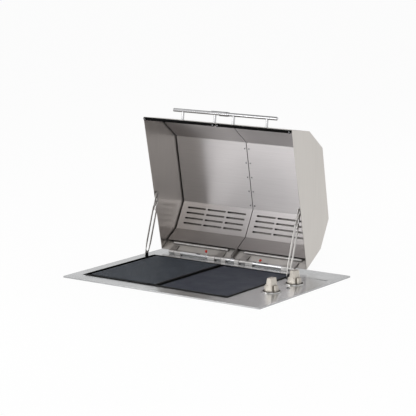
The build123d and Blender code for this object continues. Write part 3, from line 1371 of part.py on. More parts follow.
def hood_rivets(side):
    """Seam rivets and the shoulder rivet that the stay hooks on."""
    panel = SEAM_X + side * (HOOD_HALF_WIDTH - HOOD_SHEET)
    arm_face = LEFT_STAY_X if side < 0 else RIGHT_STAY_X + STAY_SHEET
    stud = rod_x(panel, arm_face + side * STUD_GAP, -STUD_ALONG, STUD_UP, STUD_RADIUS)
    return place_hood(group(*seam_rivets(side), stud))


def rim_seal(side):
    """Gasket in the front rim, its head over the liner's edge, and a round bumper at each of its ends."""
    last = panel_run("front")
    near = HOOD_SHEET + RIM_GASKET_PLAY
    stem_far = LINER_INSET - RIM_GASKET_PLAY
    head_far = LINER_INSET + LINER_SHEET + RIM_GASKET_PAST_LINER
    bottom = -RIM_GASKET_PROUD
    top = RIM_GASKET_DEPTH - RIM_GASKET_PROUD
    head_top = LINER_ABOVE_RIM - RIM_GASKET_PLAY
    outline = [
        inset_at_height(last, near, bottom),
        inset_at_height(last, near, top),
        inset_at_height(last, stem_far, top),
        inset_at_height(last, stem_far, head_top),
        inset_at_height(last, head_far, head_top),
        inset_at_height(last, head_far, bottom),
    ]
    strip_near = SEAM_HALF_GAP + LINER_SHEET + BUMPER_FROM_END
    strip_far = HOOD_HALF_WIDTH - HOOD_SHEET - BUMPER_FROM_END
    x0, x1 = side_span(side, strip_near, strip_far)
    strip = prism_x(outline, [0] * len(outline), x0, x1)
    mid_y = (outline[0][0] + outline[-1][0]) / 2
    bumpers = []
    for distance in (strip_near, strip_far):
        x = SEAM_X + side * distance
        foot = rod_z(x, mid_y, -BUMPER_PROUD, bottom, BUMPER_RADIUS)
        foot = fillet(foot.edges().filter_by(GeomType.CIRCLE).sort_by(Axis.Z)[0], BUMPER_ROUND)
        bumpers.append(foot)
    return place_hood(group(strip, *bumpers))


def drip_rail(side):
    """Rounded rail inside the skin above the hinge, which keeps drips off the hinge."""
    x0, x1 = side_span(side, DRIP_RAIL_FROM_SEAM, HOOD_HALF_WIDTH - DRIP_RAIL_FROM_END)
    sunk = DRIP_RAIL_RADIUS * DRIP_RAIL_SUNK_SHARE
    y, z = on_run(panel_run("lower"), DRIP_RAIL_UP, HOOD_SHEET + DRIP_RAIL_RADIUS - sunk)
    rail = rod_x(x0 + DRIP_RAIL_RADIUS, x1 - DRIP_RAIL_RADIUS, y, z, DRIP_RAIL_RADIUS)
    for x in (x0 + DRIP_RAIL_RADIUS, x1 - DRIP_RAIL_RADIUS):
        rail += Pos(x, y, z) * Sphere(DRIP_RAIL_RADIUS)
    _, _, _, length = run_frame(panel_run("lower"))
    plane = run_plane(panel_run("lower"), HOOD_SHEET)
    reach = x1 - x0 + 2 * CUT_OVERRUN
    back = Box(reach, length, 2 * DRIP_RAIL_RADIUS)
    behind = plane * Pos((x0 + x1) / 2, length / 2, -DRIP_RAIL_RADIUS) * back
    return place_hood(rail - behind)


def hinge_knuckles(side):
    """Two knuckles of one half: a bored barrel with a plate welded inside the skin."""
    knuckles = []
    hinge_y = HINGE_BEHIND_RIM
    hinge_z = -HINGE_BELOW_RIM
    rooms = ((INNER_KNUCKLE_START, INNER_KNUCKLE_ROOM), (OUTER_KNUCKLE_START, OUTER_KNUCKLE_ROOM))
    for start, room in rooms:
        x0, x1 = side_span(side, start + KNUCKLE_SIDE_GAP, start + room - KNUCKLE_SIDE_GAP)
        barrel = rod_x(x0, x1, hinge_y, hinge_z, KNUCKLE_RADIUS)
        outline = [
            on_run(panel_run("lower"), KNUCKLE_REACH, HOOD_SHEET),
            inset_at_height(panel_run("lower"), HOOD_SHEET, 0),
            (hinge_y + KNUCKLE_RADIUS * KNUCKLE_HEEL_SHARE, hinge_z),
            (hinge_y - KNUCKLE_RADIUS, hinge_z),
            on_run(panel_run("lower"), 0, HOOD_SHEET + KNUCKLE_TOE),
            on_run(panel_run("lower"), KNUCKLE_REACH, HOOD_SHEET + KNUCKLE_PLATE),
        ]
        plate = prism_x(outline, [0] * len(outline), x0, x1)
        bore = rod_x(x0 - CUT_OVERRUN, x1 + CUT_OVERRUN, hinge_y, hinge_z, HINGE_PIN_RADIUS + RUNNING_FIT)
        knuckles.append(barrel + plate - bore)
    return place_hood(group(*knuckles))


# Handles, still in the hood's own modelling place until each function places its piece
def bar_place():
    """(y, z) of the bar's axis outside the front panel."""
    length = run_frame(panel_run("front"))[3]
    return on_run(panel_run("front"), length - BAR_FROM_RIM, -BAR_STAND)


def plain_bar(side):
    """One handle bar, before its posts are fitted."""
    y, z = bar_place()
    x0, x1 = side_span(side, BAR_HALF_GAP, BAR_END_FROM_SEAM)
    bar = rod_x(x0, x1, y, z, BAR_RADIUS)
    bar = chamfer(bar.edges().filter_by(GeomType.CIRCLE), BAR_END_CHAMFER)
    if side > 0:
        collar_x0, collar_x1 = side_span(side, COLLAR_START, COLLAR_START + COLLAR_LENGTH)
        bar += rod_x(collar_x0, collar_x1, y, z, COLLAR_RADIUS)
    return bar


def handle_bar(side):
    """Handle bar of one half; the right one has the collar that the sleeve stops against."""
    return place_hood(plain_bar(side))


def post_solids(side, radius):
    """Posts from the front panel to the bar's axis."""
    length = run_frame(panel_run("front"))[3]
    foot_y, foot_z = on_run(panel_run("front"), length - BAR_FROM_RIM, 0)
    y, z = bar_place()
    return [
        rod((SEAM_X + side * distance, foot_y, foot_z), (SEAM_X + side * distance, y, z), radius)
        for distance in (INNER_POST_FROM_SEAM, OUTER_POST_FROM_SEAM)
    ]


def handle_posts(side):
    """Two posts of one handle, saddled to the bar, each with a small foot flange."""
    bar = plain_bar(side)
    plane = run_plane(panel_run("front"), 0)
    length = run_frame(panel_run("front"))[3]
    posts = []
    for post, distance in zip(post_solids(side, POST_RADIUS), (INNER_POST_FROM_SEAM, OUTER_POST_FROM_SEAM)):
        spot = plane * Pos(SEAM_X + side * distance, length - BAR_FROM_RIM)
        flange = spot * extrude(Circle(POST_FLANGE_RADIUS), amount=-POST_FLANGE)
        posts.append(post + flange - bar)
    return place_hood(group(*posts))


def coupling_sleeve():
    """Sleeve over both bars at the seam, slotted for the left inner post with a side step for locking."""
    y, z = bar_place()
    inner = BAR_RADIUS + SLEEVE_PLAY
    x1 = SEAM_X + SLEEVE_PAST_SEAM
    x0 = x1 - SLEEVE_LENGTH
    sleeve = rod_x(x0, x1, y, z, SLEEVE_RADIUS) - rod_x(x0 - CUT_OVERRUN, x1 + CUT_OVERRUN, y, z, inner)
    slot_end = SEAM_X - INNER_POST_FROM_SEAM + SLEEVE_TRAVEL + POST_RADIUS + SLEEVE_SLOT_PLAY
    _, _, (ny, nz), _ = run_frame(panel_run("front"))
    half_width = POST_RADIUS + SLEEVE_SLOT_PLAY
    slot_plane = Plane(origin=(0, y, z), x_dir=(1, 0, 0), z_dir=(0, ny, nz))
    long_slot = Pos((x0 - CUT_OVERRUN + slot_end) / 2, 0, SLEEVE_RADIUS) * Box(
        slot_end - x0 + CUT_OVERRUN, 2 * half_width, 2 * SLEEVE_RADIUS)
    key = Pos(slot_end - SLEEVE_KEY_LENGTH / 2, 0, SLEEVE_RADIUS) * Box(
        SLEEVE_KEY_LENGTH, half_width, 2 * SLEEVE_RADIUS)
    return place_hood(sleeve - slot_plane * long_slot - slot_plane * Rot(SLEEVE_KEY_ANGLE, 0, 0) * key)


# Cooking plates
def cooking_plate(index, ribbed):
    """Cast plate with a rim, a recess, a drain trough with holes along its left edge and two lift slots."""
    x0 = PLATES_X0 + PLATE_PLAY + index * (PLATE_WIDTH + PLATE_PLAY)
    x1 = x0 + PLATE_WIDTH
    floor = PLATE_TOP - PLATE_RECESS
    plate = block(x0, x1, PLATE_Y0, PLATE_Y1, PLATE_SEAT, PLATE_TOP)
    plate = fillet(plate.edges().filter_by(Axis.Z), PLATE_RIM / 2)
    inner_y0 = PLATE_Y0 + PLATE_RIM
    inner_y1 = PLATE_Y1 - PLATE_RIM
    trough_x1 = x0 + PLATE_RIM / 2 + TROUGH_WIDTH
    plate -= block(trough_x1, x1 - PLATE_RIM, inner_y0, inner_y1, floor, PLATE_TOP + CUT_OVERRUN)
    plate -= block(x0 + PLATE_RIM / 2, trough_x1, inner_y0, inner_y1, PLATE_TOP - TROUGH_DEPTH,
                   PLATE_TOP + CUT_OVERRUN)
    drain_x = x0 + PLATE_RIM / 2 + TROUGH_WIDTH / 2
    pitch = (inner_y1 - inner_y0 - 2 * DRAIN_END_MARGIN) / (DRAIN_HOLE_COUNT - 1)
    for i in range(DRAIN_HOLE_COUNT):
        y = inner_y0 + DRAIN_END_MARGIN + i * pitch
        plate -= rod_z(drain_x, y, PLATE_SEAT - CUT_OVERRUN, PLATE_TOP + CUT_OVERRUN, DRAIN_HOLE_RADIUS)
    slot = extrude(SlotOverall(LIFT_SLOT_LENGTH, LIFT_SLOT_WIDTH), amount=PLATE_THICKNESS + 2 * CUT_OVERRUN)
    corners = (
        (x1 - LIFT_SLOT_FROM_SIDE, PLATE_Y0 + LIFT_SLOT_FROM_EDGE),
        (trough_x1 + LIFT_SLOT_FROM_SIDE, PLATE_Y1 - LIFT_SLOT_FROM_EDGE),
    )
    if ribbed:
        field = x1 - PLATE_RIM - trough_x1
        rib_pitch = field / RIB_COUNT
        rib_half = rib_pitch * RIB_WIDTH_SHARE / 2
        for i in range(RIB_COUNT):
            x = trough_x1 + (i + 0.5) * rib_pitch
            plate += block(x - rib_half, x + rib_half, inner_y0 + RIB_END_GAP, inner_y1 - RIB_END_GAP,
                           floor - PLATE_RECESS / 2, floor + RIB_HEIGHT)
    for x, y in corners:
        plate -= Pos(x, y, PLATE_SEAT - CUT_OVERRUN) * slot
    return plate


# Write every sub-part
os.makedirs("parts", exist_ok=True)
save(deck_plate(), "deck_plate")
save(flange_seal(), "flange_seal")
save(firebox_tub(), "firebox_tub")
save(outer_casing(), "outer_casing")
save(insulation_boards(), "insulation_boards")
save(heat_shield(), "heat_shield")
save(plate_support_frame(), "plate_support_frame")
save(group(heating_element(0), heating_element(1)), "heating_elements")
save(element_support_bars(), "element_support_bars")
save(element_glands(), "element_glands")
save(thermostats(), "thermostats")
save(small_screws(), "small_screws")
save(terminal_block(), "terminal_block")
save(wiring_loom(), "wiring_loom")
save(cable_inlet_bush(), "cable_inlet_bush")
save(service_cover(), "service_cover")
save(bench_clamps(), "bench_clamps")
save(clamp_screws(), "clamp_screws")
save(tray_runners(), "tray_runners")
save(drip_tray(), "drip_tray")
save(hinge_blocks(), "hinge_blocks")
save(hinge_tubes(), "hinge_tubes")
save(outer_hinge_pins(), "outer_hinge_pins")
save(group(*hinge_screw_list()), "hinge_screws")
save(stay_brackets(), "stay_brackets")
save(knob_bezels(), "knob_bezels")
save(lamp_bezel(), "lamp_bezel")
save(lamp_lens(), "lamp_lens")
save(coupling_sleeve(), "coupling_sleeve")
save(stay_arm(LEFT_STAY_X), "stay_arm_left")
save(stay_arm(RIGHT_STAY_X), "stay_arm_right")
save(cooking_plate(0, True), "plate_ribbed")
save(cooking_plate(1, False), "plate_flat")
for word, knob_y in zip(("front", "rear"), KNOB_YS):
    save(knob(knob_y), "knob_" + word)
    save(spindle(knob_y), "spindle_" + word)
for word, half in (("left", -1), ("right", 1)):
    save(hinge_bolt(half), "hinge_bolt_" + word)
    save(bolt_grip(half), "bolt_grip_" + word)
    save(hood_skin(half), "hood_skin_" + word)
    save(hood_end_panel(half), "hood_end_panel_" + word)
    save(hood_liner(half), "hood_liner_" + word)
    save(hood_rivets(half), "hood_rivets_" + word)
    save(rim_seal(half), "rim_seal_" + word)
    save(drip_rail(half), "drip_rail_" + word)
    save(hinge_knuckles(half), "hinge_knuckles_" + word)
    save(handle_bar(half), "handle_bar_" + word)
    save(handle_posts(half), "handle_posts_" + word)
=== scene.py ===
"""Built-in electric grill with its hood open, dressed and lit for the studio.

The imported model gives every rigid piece. This script gives each one its finish, rounds the edges
that catch the light, adds small pieces that lie on them, and sets the floor, the lamps and the
camera. Lengths are metres unless a name says mm.
"""
from __future__ import annotations

import json
import logging
import math
from dataclasses import dataclass
from enum import Enum
from typing import Iterable

import bpy
from mathutils import Matrix, Vector

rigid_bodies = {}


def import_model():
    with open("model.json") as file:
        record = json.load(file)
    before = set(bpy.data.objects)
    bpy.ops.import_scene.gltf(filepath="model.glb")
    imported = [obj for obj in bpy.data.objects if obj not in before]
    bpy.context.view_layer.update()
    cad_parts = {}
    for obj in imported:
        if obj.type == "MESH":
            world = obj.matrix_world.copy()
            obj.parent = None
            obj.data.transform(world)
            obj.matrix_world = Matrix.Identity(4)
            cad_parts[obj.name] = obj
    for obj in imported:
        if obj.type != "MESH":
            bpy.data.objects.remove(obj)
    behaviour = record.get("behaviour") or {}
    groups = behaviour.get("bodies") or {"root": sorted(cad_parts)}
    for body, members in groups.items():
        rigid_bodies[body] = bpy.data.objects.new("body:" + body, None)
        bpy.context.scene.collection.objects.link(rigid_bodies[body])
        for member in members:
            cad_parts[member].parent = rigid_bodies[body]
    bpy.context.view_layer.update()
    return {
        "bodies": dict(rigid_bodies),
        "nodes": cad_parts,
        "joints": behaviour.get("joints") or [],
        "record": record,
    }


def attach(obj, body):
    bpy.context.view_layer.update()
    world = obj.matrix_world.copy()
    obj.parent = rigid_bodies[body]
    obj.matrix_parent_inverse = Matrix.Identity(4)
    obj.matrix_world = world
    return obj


LOG = logging.getLogger("grill")
MM = 0.001
SIDES = ("left", "right")
WHITE = (1.0, 1.0, 1.0, 1.0)
# a colour Mix node has several sockets of one name, so its share, its two colours and its
# result are reached by number
SHARE, FIRST, SECOND, MIXED = 0, 6, 7, 2
# nearly all values of a noise pattern lie between these two
NOISE = {"From Min": 0.3, "From Max": 0.7}
# rays that look for something near by, to paint shade into gaps and corners
PAINTED_SHADE_RAYS = 6


class Axis(Enum):
    """Direction in which a sheet was ground or a bar was drawn."""

    X = (1.0, 0.0, 0.0)
    Y = (0.0, 1.0, 0.0)
    Z = (0.0, 0.0, 1.0)


def linear(hex_code: str) -> tuple[float, float, float, float]:
    """Turn an sRGB hex colour into the linear values that a shader takes.

    Args:
        hex_code: Colour such as "B4B5B6".

    Returns:
        Linear red, green, blue and an alpha of 1.
    """
    channels = [int(hex_code[i:i + 2], 16) / 255 for i in (0, 2, 4)]
    values = [c / 12.92 if c <= 0.04045 else ((c + 0.055) / 1.055) ** 2.4 for c in channels]
    return (values[0], values[1], values[2], 1.0)


def add_node(tree: bpy.types.NodeTree, kind: str, inputs: dict | None = None,
             **settings: object) -> bpy.types.Node:
    """Add one node with its settings, its socket values and its links.

    Args:
        tree: Node tree that gets the node.
        kind: Type of the node, such as "ShaderNodeBump".
        inputs: For each input, by name or number: a value, a node whose first output is linked
            to it, or an output socket.
        settings: Properties of the node itself.

    Returns:
        The new node.
    """
    node = tree.nodes.new(kind)
    for name, value in settings.items():
        setattr(node, name, value)
    for key, value in (inputs or {}).items():
        if isinstance(value, bpy.types.Node):
            value = value.outputs[0]
        if isinstance(value, bpy.types.NodeSocket):
            tree.links.new(value, node.inputs[key])
        else:
            node.inputs[key].default_value = value
    return node


def lump_scale(size_mm: float, stretch: float = 1.0,
               grain: Axis = Axis.X) -> tuple[float, float, float]:
    """Work out a pattern's scale from the real size of one lump or line.

    Args:
        size_mm: Width of one lump or line.
        stretch: How many times longer it is along the grain.
        grain: Direction in which it is longer.

    Returns:
        Scale for a Mapping node on coordinates in metres.
    """
    return tuple(1.0 / (size_mm * MM * (stretch if part else 1.0)) for part in grain.value)


@dataclass(frozen=True)
class Finish:
    """What every finish has: its name, two shades of its colour and how dull it is."""

    name: str
    colour: str
    shade: str
    roughness: float

    def start(self) -> tuple[bpy.types.Material, bpy.types.NodeTree, bpy.types.NodeSocket]:
        """Make the empty material.

        Returns:
            The material, its node tree and its object coordinates.
        """
        material = bpy.data.materials.new(self.name)
        material.use_nodes = True
        tree = material.node_tree
        tree.nodes.clear()
        return material, tree, add_node(tree, "ShaderNodeTexCoord").outputs["Object"]

    def end(self, tree: bpy.types.NodeTree, inputs: dict) -> None:
        """Close a tree with its surface shader.

        Args:
            tree: Tree of the material.
            inputs: Inputs of the surface shader.
        """
        shader = add_node(tree, "ShaderNodeBsdfPrincipled", inputs)
        add_node(tree, "ShaderNodeOutputMaterial", {"Surface": shader})


@dataclass(frozen=True)
class GroundSteel(Finish):
    """Stainless sheet, ground in one direction.

    The grinding smears every reflection across its lines and leaves it sharp along them, so an
    upright edge stays crisp while what is above and below it runs together.
    """

    grain: Axis = Axis.X
    smear: float = 0.95
    line_mm: float = 1.4
    line_stretch: float = 90.0
    line_depth_mm: float = 0.006
    patch_mm: float = 130.0
    patch_dulling: float = 0.04
    # reach of the shade painted into the colour near gaps and corners
    painted_shade_mm: float = 22.0
    # a darker tone multiplied into the colour towards the bottom, faded out between these two
    # heights
    bottom_tone: str = "FFFFFF"
    bottom_tone_from: float = 0.0
    bottom_tone_to: float = 0.001
    # keeps the tangent from vanishing on a face that looks along the grain
    nudge: tuple[float, float, float] = (0.001, 0.002, 0.003)

    def material(self) -> bpy.types.Material:
        """Build the node tree.

        Returns:
            The finished material.
        """
        material, tree, place = self.start()
        # real grinding lines are 0.1 mm wide, these are as coarse as they need to be to show
        line_map = add_node(tree, "ShaderNodeMapping", {
            "Vector": place, "Scale": lump_scale(self.line_mm, self.line_stretch, self.grain)})
        lines = add_node(tree, "ShaderNodeTexNoise", {
            "Vector": line_map, "Scale": 1.0, "Detail": 3.0})
        patch_map = add_node(tree, "ShaderNodeMapping", {
            "Vector": place, "Scale": lump_scale(self.patch_mm)})
        patches = add_node(tree, "ShaderNodeTexNoise", {
            "Vector": patch_map, "Scale": 1.0, "Detail": 1.0})
        line_share = add_node(tree, "ShaderNodeMapRange", {"Value": lines, **NOISE})
        colour = add_node(tree, "ShaderNodeMix", {
            SHARE: line_share, FIRST: linear(self.shade),
            SECOND: linear(self.colour)}, data_type="RGBA")
        # darker towards the bottom
        height = add_node(tree, "ShaderNodeSeparateXYZ", {"Vector": place})
        above_bottom_tone = add_node(tree, "ShaderNodeMapRange", {
            "Value": height.outputs["Z"], "From Min": self.bottom_tone_from, "From Max": self.bottom_tone_to})
        toned = add_node(tree, "ShaderNodeMix", {
            SHARE: above_bottom_tone, FIRST: linear(self.bottom_tone), SECOND: WHITE}, data_type="RGBA")
        tinted = add_node(tree, "ShaderNodeMix", {
            SHARE: 1.0, FIRST: colour.outputs[MIXED],
            SECOND: toned.outputs[MIXED]}, data_type="RGBA", blend_type="MULTIPLY")
        # ambient occlusion paints shade into the colour where other faces stand near: gaps, slots
        # and corners
        painted_gap_shade = add_node(tree, "ShaderNodeAmbientOcclusion", {
            "Color": tinted.outputs[MIXED], "Distance": self.painted_shade_mm * MM}, samples=PAINTED_SHADE_RAYS)
        rough = add_node(tree, "ShaderNodeMapRange", {
            "Value": patches, **NOISE,
            "To Min": self.roughness, "To Max": self.roughness + self.patch_dulling})
        normal = add_node(tree, "ShaderNodeBump", {
            "Height": lines, "Distance": self.line_depth_mm * MM})
        facing = add_node(tree, "ShaderNodeNewGeometry")
        across = add_node(tree, "ShaderNodeVectorMath", {
            0: facing.outputs["Normal"], 1: self.grain.value}, operation="CROSS_PRODUCT")
        tangent = add_node(tree, "ShaderNodeVectorMath", {
            0: across, 1: self.nudge}, operation="ADD")
        self.end(tree, {"Base Color": painted_gap_shade.outputs["Color"], "Metallic": 1.0,
                        "Roughness": rough, "Anisotropic": self.smear,
                        "Tangent": tangent, "Normal": normal})
        return material


@dataclass(frozen=True)
class DrawnSteel(Finish):
    """Bar, tube or turned piece with a polish that follows its length.

    It mirrors the studio in long soft stripes, broken a little by faint drawing marks.
    """

    grain: Axis = Axis.X
    mark_mm: float = 2.0
    mark_stretch: float = 30.0
    mark_depth_mm: float = 0.004
    mark_dulling: float = 1.4

    def material(self) -> bpy.types.Material:
        """Build the node tree.

        Returns:
            The finished material.
        """
        material, tree, place = self.start()
        mark_map = add_node(tree, "ShaderNodeMapping", {
            "Vector": place, "Scale": lump_scale(self.mark_mm, self.mark_stretch, self.grain)})
        marks = add_node(tree, "ShaderNodeTexNoise", {
            "Vector": mark_map, "Scale": 1.0, "Detail": 3.0})
        share = add_node(tree, "ShaderNodeMapRange", {"Value": marks, **NOISE})
        colour = add_node(tree, "ShaderNodeMix", {
            SHARE: share, FIRST: linear(self.shade),
            SECOND: linear(self.colour)}, data_type="RGBA")
        rough = add_node(tree, "ShaderNodeMapRange", {
            "Value": marks, **NOISE,
            "To Min": self.roughness, "To Max": self.roughness * self.mark_dulling})
        normal = add_node(tree, "ShaderNodeBump", {
            "Height": marks, "Distance": self.mark_depth_mm * MM})
        self.end(tree, {"Base Color": colour.outputs[MIXED], "Metallic": 1.0,
                        "Roughness": rough, "Normal": normal})
        return material


@dataclass(frozen=True)
class RolledSteel(Finish):
    """Sheet, bar or casting without a ground face: soft blotches, fine pits, painted shade in its
    corners.
    """

    blotch_mm: float = 18.0
    blotch_dulling: float = 0.12
    pit_mm: float = 2.0
    pit_depth_mm: float = 0.02
    corner_shade_mm: float = 5.0

    def material(self) -> bpy.types.Material:
        """Build the node tree.

        Returns:
            The finished material.
        """
        material, tree, place = self.start()
        blotch_map = add_node(tree, "ShaderNodeMapping", {
            "Vector": place, "Scale": lump_scale(self.blotch_mm)})
        blotches = add_node(tree, "ShaderNodeTexNoise", {
            "Vector": blotch_map, "Scale": 1.0, "Detail": 4.0})
        pit_map = add_node(tree, "ShaderNodeMapping", {
            "Vector": place, "Scale": lump_scale(self.pit_mm)})
        pits = add_node(tree, "ShaderNodeTexNoise", {
            "Vector": pit_map, "Scale": 1.0, "Detail": 2.0})
        share = add_node(tree, "ShaderNodeMapRange", {"Value": blotches, **NOISE})
        colour = add_node(tree, "ShaderNodeMix", {
            SHARE: share, FIRST: linear(self.shade),
            SECOND: linear(self.colour)}, data_type="RGBA")
        # ambient occlusion paints shade into the colour in corners and where parts meet
        corners = add_node(tree, "ShaderNodeAmbientOcclusion", {
            "Color": colour.outputs[MIXED], "Distance": self.corner_shade_mm * MM}, samples=PAINTED_SHADE_RAYS)
        rough = add_node(tree, "ShaderNodeMapRange", {
            "Value": blotches, **NOISE,
            "To Min": self.roughness, "To Max": self.roughness + self.blotch_dulling})
        normal = add_node(tree, "ShaderNodeBump", {
            "Height": pits, "Distance": self.pit_depth_mm * MM})
        self.end(tree, {"Base Color": corners.outputs["Color"], "Metallic": 1.0,
                        "Roughness": rough, "Normal": normal})
        return material


@dataclass(frozen=True)
class EnamelledIron(Finish):
    """Cast iron under dark matt enamel.

    The casting's grain shows as small lumps. The walls and the rim are painted near black as
    painted shade, the trough floor is darker, and faces higher up are paler in patches. Heights
    are those of the plate's own faces over the bench.
    """

    grain_mm: float = 3.0
    grain_depth_mm: float = 0.05
    bake_mm: float = 70.0
    bake_play: float = 0.05
    # painted shade on the walls and the rim
    black: str = "08090B"
    trough: str = "0E1012"
    trough_to: float = 0.0062
    trough_fade: float = 0.001
    upper_tone: str = "6A717B"
    upper_tone_from: float = 0.0066
    upper_tone_to: float = 0.0082
    rim_from: float = 0.00836
    # a face is a wall under the first upward share of its normal and a floor over the second; walls
    # get the painted shade
    wall_to: float = 0.2
    floor_from: float = 0.6
    gloss: float = 0.3
    ior: float = 1.45

    def material(self) -> bpy.types.Material:
        """Build the node tree.

        Returns:
            The finished material.
        """
        material, tree, place = self.start()
        grain_map = add_node(tree, "ShaderNodeMapping", {
            "Vector": place, "Scale": lump_scale(self.grain_mm)})
        grain = add_node(tree, "ShaderNodeTexNoise", {
            "Vector": grain_map, "Scale": 1.0, "Detail": 3.0})
        bake_map = add_node(tree, "ShaderNodeMapping", {
            "Vector": place, "Scale": lump_scale(self.bake_mm)})
        bake = add_node(tree, "ShaderNodeTexNoise", {
            "Vector": bake_map, "Scale": 1.0, "Detail": 3.0})
        share = add_node(tree, "ShaderNodeMapRange", {"Value": grain, **NOISE})
        skin = add_node(tree, "ShaderNodeMix", {
            SHARE: share, FIRST: linear(self.shade),
            SECOND: linear(self.colour)}, data_type="RGBA")
        height = add_node(tree, "ShaderNodeSeparateXYZ", {"Vector": place})
        # faces higher up turn paler in patches
        raised = add_node(tree, "ShaderNodeMapRange", {
            "Value": height.outputs["Z"], "From Min": self.upper_tone_from, "From Max": self.upper_tone_to})
        patchy = add_node(tree, "ShaderNodeMath", {0: raised, 1: bake}, operation="MULTIPLY")
        upper_toned = add_node(tree, "ShaderNodeMix", {
            SHARE: patchy, FIRST: skin.outputs[MIXED],
            SECOND: linear(self.upper_tone)}, data_type="RGBA")
        above = add_node(tree, "ShaderNodeMapRange", {
            "Value": height.outputs["Z"], "From Min": self.trough_to - self.trough_fade,
            "From Max": self.trough_to})
        level = add_node(tree, "ShaderNodeMix", {
            SHARE: above, FIRST: linear(self.trough),
            SECOND: upper_toned.outputs[MIXED]}, data_type="RGBA")
        # walls and the rim take the black as painted shade, only floors under the rim keep the
        # enamel colour
        facing = add_node(tree, "ShaderNodeNewGeometry")
        up = add_node(tree, "ShaderNodeSeparateXYZ", {"Vector": facing.outputs["True Normal"]})
        flat = add_node(tree, "ShaderNodeMapRange", {
            "Value": up.outputs["Z"], "From Min": self.wall_to, "From Max": self.floor_from})
        under = add_node(tree, "ShaderNodeMath", {
            0: height.outputs["Z"], 1: self.rim_from}, operation="LESS_THAN")
        inside = add_node(tree, "ShaderNodeMath", {0: flat, 1: under}, operation="MULTIPLY")
        colour = add_node(tree, "ShaderNodeMix", {
            SHARE: inside, FIRST: linear(self.black),
            SECOND: level.outputs[MIXED]}, data_type="RGBA")
        rough = add_node(tree, "ShaderNodeMapRange", {
            "Value": bake, **NOISE,
            "To Min": self.roughness - self.bake_play, "To Max": self.roughness + self.bake_play})
        normal = add_node(tree, "ShaderNodeBump", {
            "Height": grain, "Distance": self.grain_depth_mm * MM})
        self.end(tree, {"Base Color": colour.outputs[MIXED], "Roughness": rough, "IOR": self.ior,
                        "Specular IOR Level": self.gloss, "Normal": normal})
        return material


@dataclass(frozen=True)
class Moulded(Finish):
    """Plastic, rubber or ceramic out of a mould: an even skin with a fine grain."""

    grain_mm: float = 1.0
    grain_depth_mm: float = 0.02
    grain_dulling: float = 0.1
    shade_mm: float = 25.0
    ior: float = 1.46
    coat: float = 0.0

    def material(self) -> bpy.types.Material:
        """Build the node tree.

        Returns:
            The finished material.
        """
        material, tree, place = self.start()
        grain_map = add_node(tree, "ShaderNodeMapping", {
            "Vector": place, "Scale": lump_scale(self.grain_mm)})
        grain = add_node(tree, "ShaderNodeTexNoise", {
            "Vector": grain_map, "Scale": 1.0, "Detail": 2.0})
        shade_map = add_node(tree, "ShaderNodeMapping", {
            "Vector": place, "Scale": lump_scale(self.shade_mm)})
        shade = add_node(tree, "ShaderNodeTexNoise", {
            "Vector": shade_map, "Scale": 1.0, "Detail": 3.0})
        share = add_node(tree, "ShaderNodeMapRange", {"Value": shade, **NOISE})
        colour = add_node(tree, "ShaderNodeMix", {
            SHARE: share, FIRST: linear(self.shade),
            SECOND: linear(self.colour)}, data_type="RGBA")
        rough = add_node(tree, "ShaderNodeMapRange", {
            "Value": grain, **NOISE,
            "To Min": self.roughness, "To Max": self.roughness + self.grain_dulling})
        normal = add_node(tree, "ShaderNodeBump", {
            "Height": grain, "Distance": self.grain_depth_mm * MM})
        self.end(tree, {"Base Color": colour.outputs[MIXED], "Roughness": rough, "IOR": self.ior,
                        "Coat Weight": self.coat, "Normal": normal})
        return material


@dataclass(frozen=True)
class PressedFibre(Finish):
    """Mineral fibre pressed into a board: matt and felted, with fibres that cross."""

    fibre_mm: float = 1.5
    fibre_stretch: float = 6.0
    fibre_depth_mm: float = 0.6

    def material(self) -> bpy.types.Material:
        """Build the node tree.

        Returns:
            The finished material.
        """
        material, tree, place = self.start()
        long_map = add_node(tree, "ShaderNodeMapping", {
            "Vector": place, "Scale": lump_scale(self.fibre_mm, self.fibre_stretch, Axis.X)})
        cross_map = add_node(tree, "ShaderNodeMapping", {
            "Vector": place, "Scale": lump_scale(self.fibre_mm, self.fibre_stretch, Axis.Y)})
        fibres = add_node(tree, "ShaderNodeTexNoise", {
            "Vector": long_map, "Scale": 1.0, "Detail": 4.0})
        crossed = add_node(tree, "ShaderNodeTexNoise", {
            "Vector": cross_map, "Scale": 1.0, "Detail": 4.0})
        felt = add_node(tree, "ShaderNodeMath", {0: fibres, 1: crossed}, operation="MULTIPLY")
        colour = add_node(tree, "ShaderNodeMix", {
            SHARE: felt, FIRST: linear(self.shade),
            SECOND: linear(self.colour)}, data_type="RGBA")
        rough = add_node(tree, "ShaderNodeMapRange", {
            "Value": fibres, "To Min": self.roughness, "To Max": 1.0})
        normal = add_node(tree, "ShaderNodeBump", {
            "Height": felt, "Distance": self.fibre_depth_mm * MM})
        self.end(tree, {"Base Color": colour.outputs[MIXED], "Roughness": rough,
                        "Normal": normal})
        return material


# long pale streaks that turn grey where the hood stands over them
# with painted shade within 12 mm of what stands on it
DECK_STEEL = GroundSteel("stainless_sheet_ground_deck", "D8D9DA", "D0D1D2", 0.23,
                         line_depth_mm=0.002, painted_shade_mm=12.0)
# warm even grey, almost without a reflection
# its painted shade reaches 60 mm, to darken the gap and slots between skin and liner
HOOD_STEEL = GroundSteel("stainless_sheet_ground_hood", "CFCBC7", "C8C4C0", 0.36, painted_shade_mm=60.0)
# ground upright, so that it mirrors the vent slots beside it as fine level lines
END_STEEL = GroundSteel("stainless_sheet_ground_end_panel", "D0CCC7", "C9C5C0", 0.3,
                        grain=Axis.Z, smear=0.8, painted_shade_mm=8.0)
# brighter inside, with a crisp upright edge where it mirrors the end panel; darker low down
LINER_STEEL = GroundSteel("stainless_sheet_ground_liner", "D6D2D2", "CECACA", 0.32, smear=0.98,
                          bottom_tone="BAB8B6", bottom_tone_from=0.06, bottom_tone_to=0.2, painted_shade_mm=8.0)
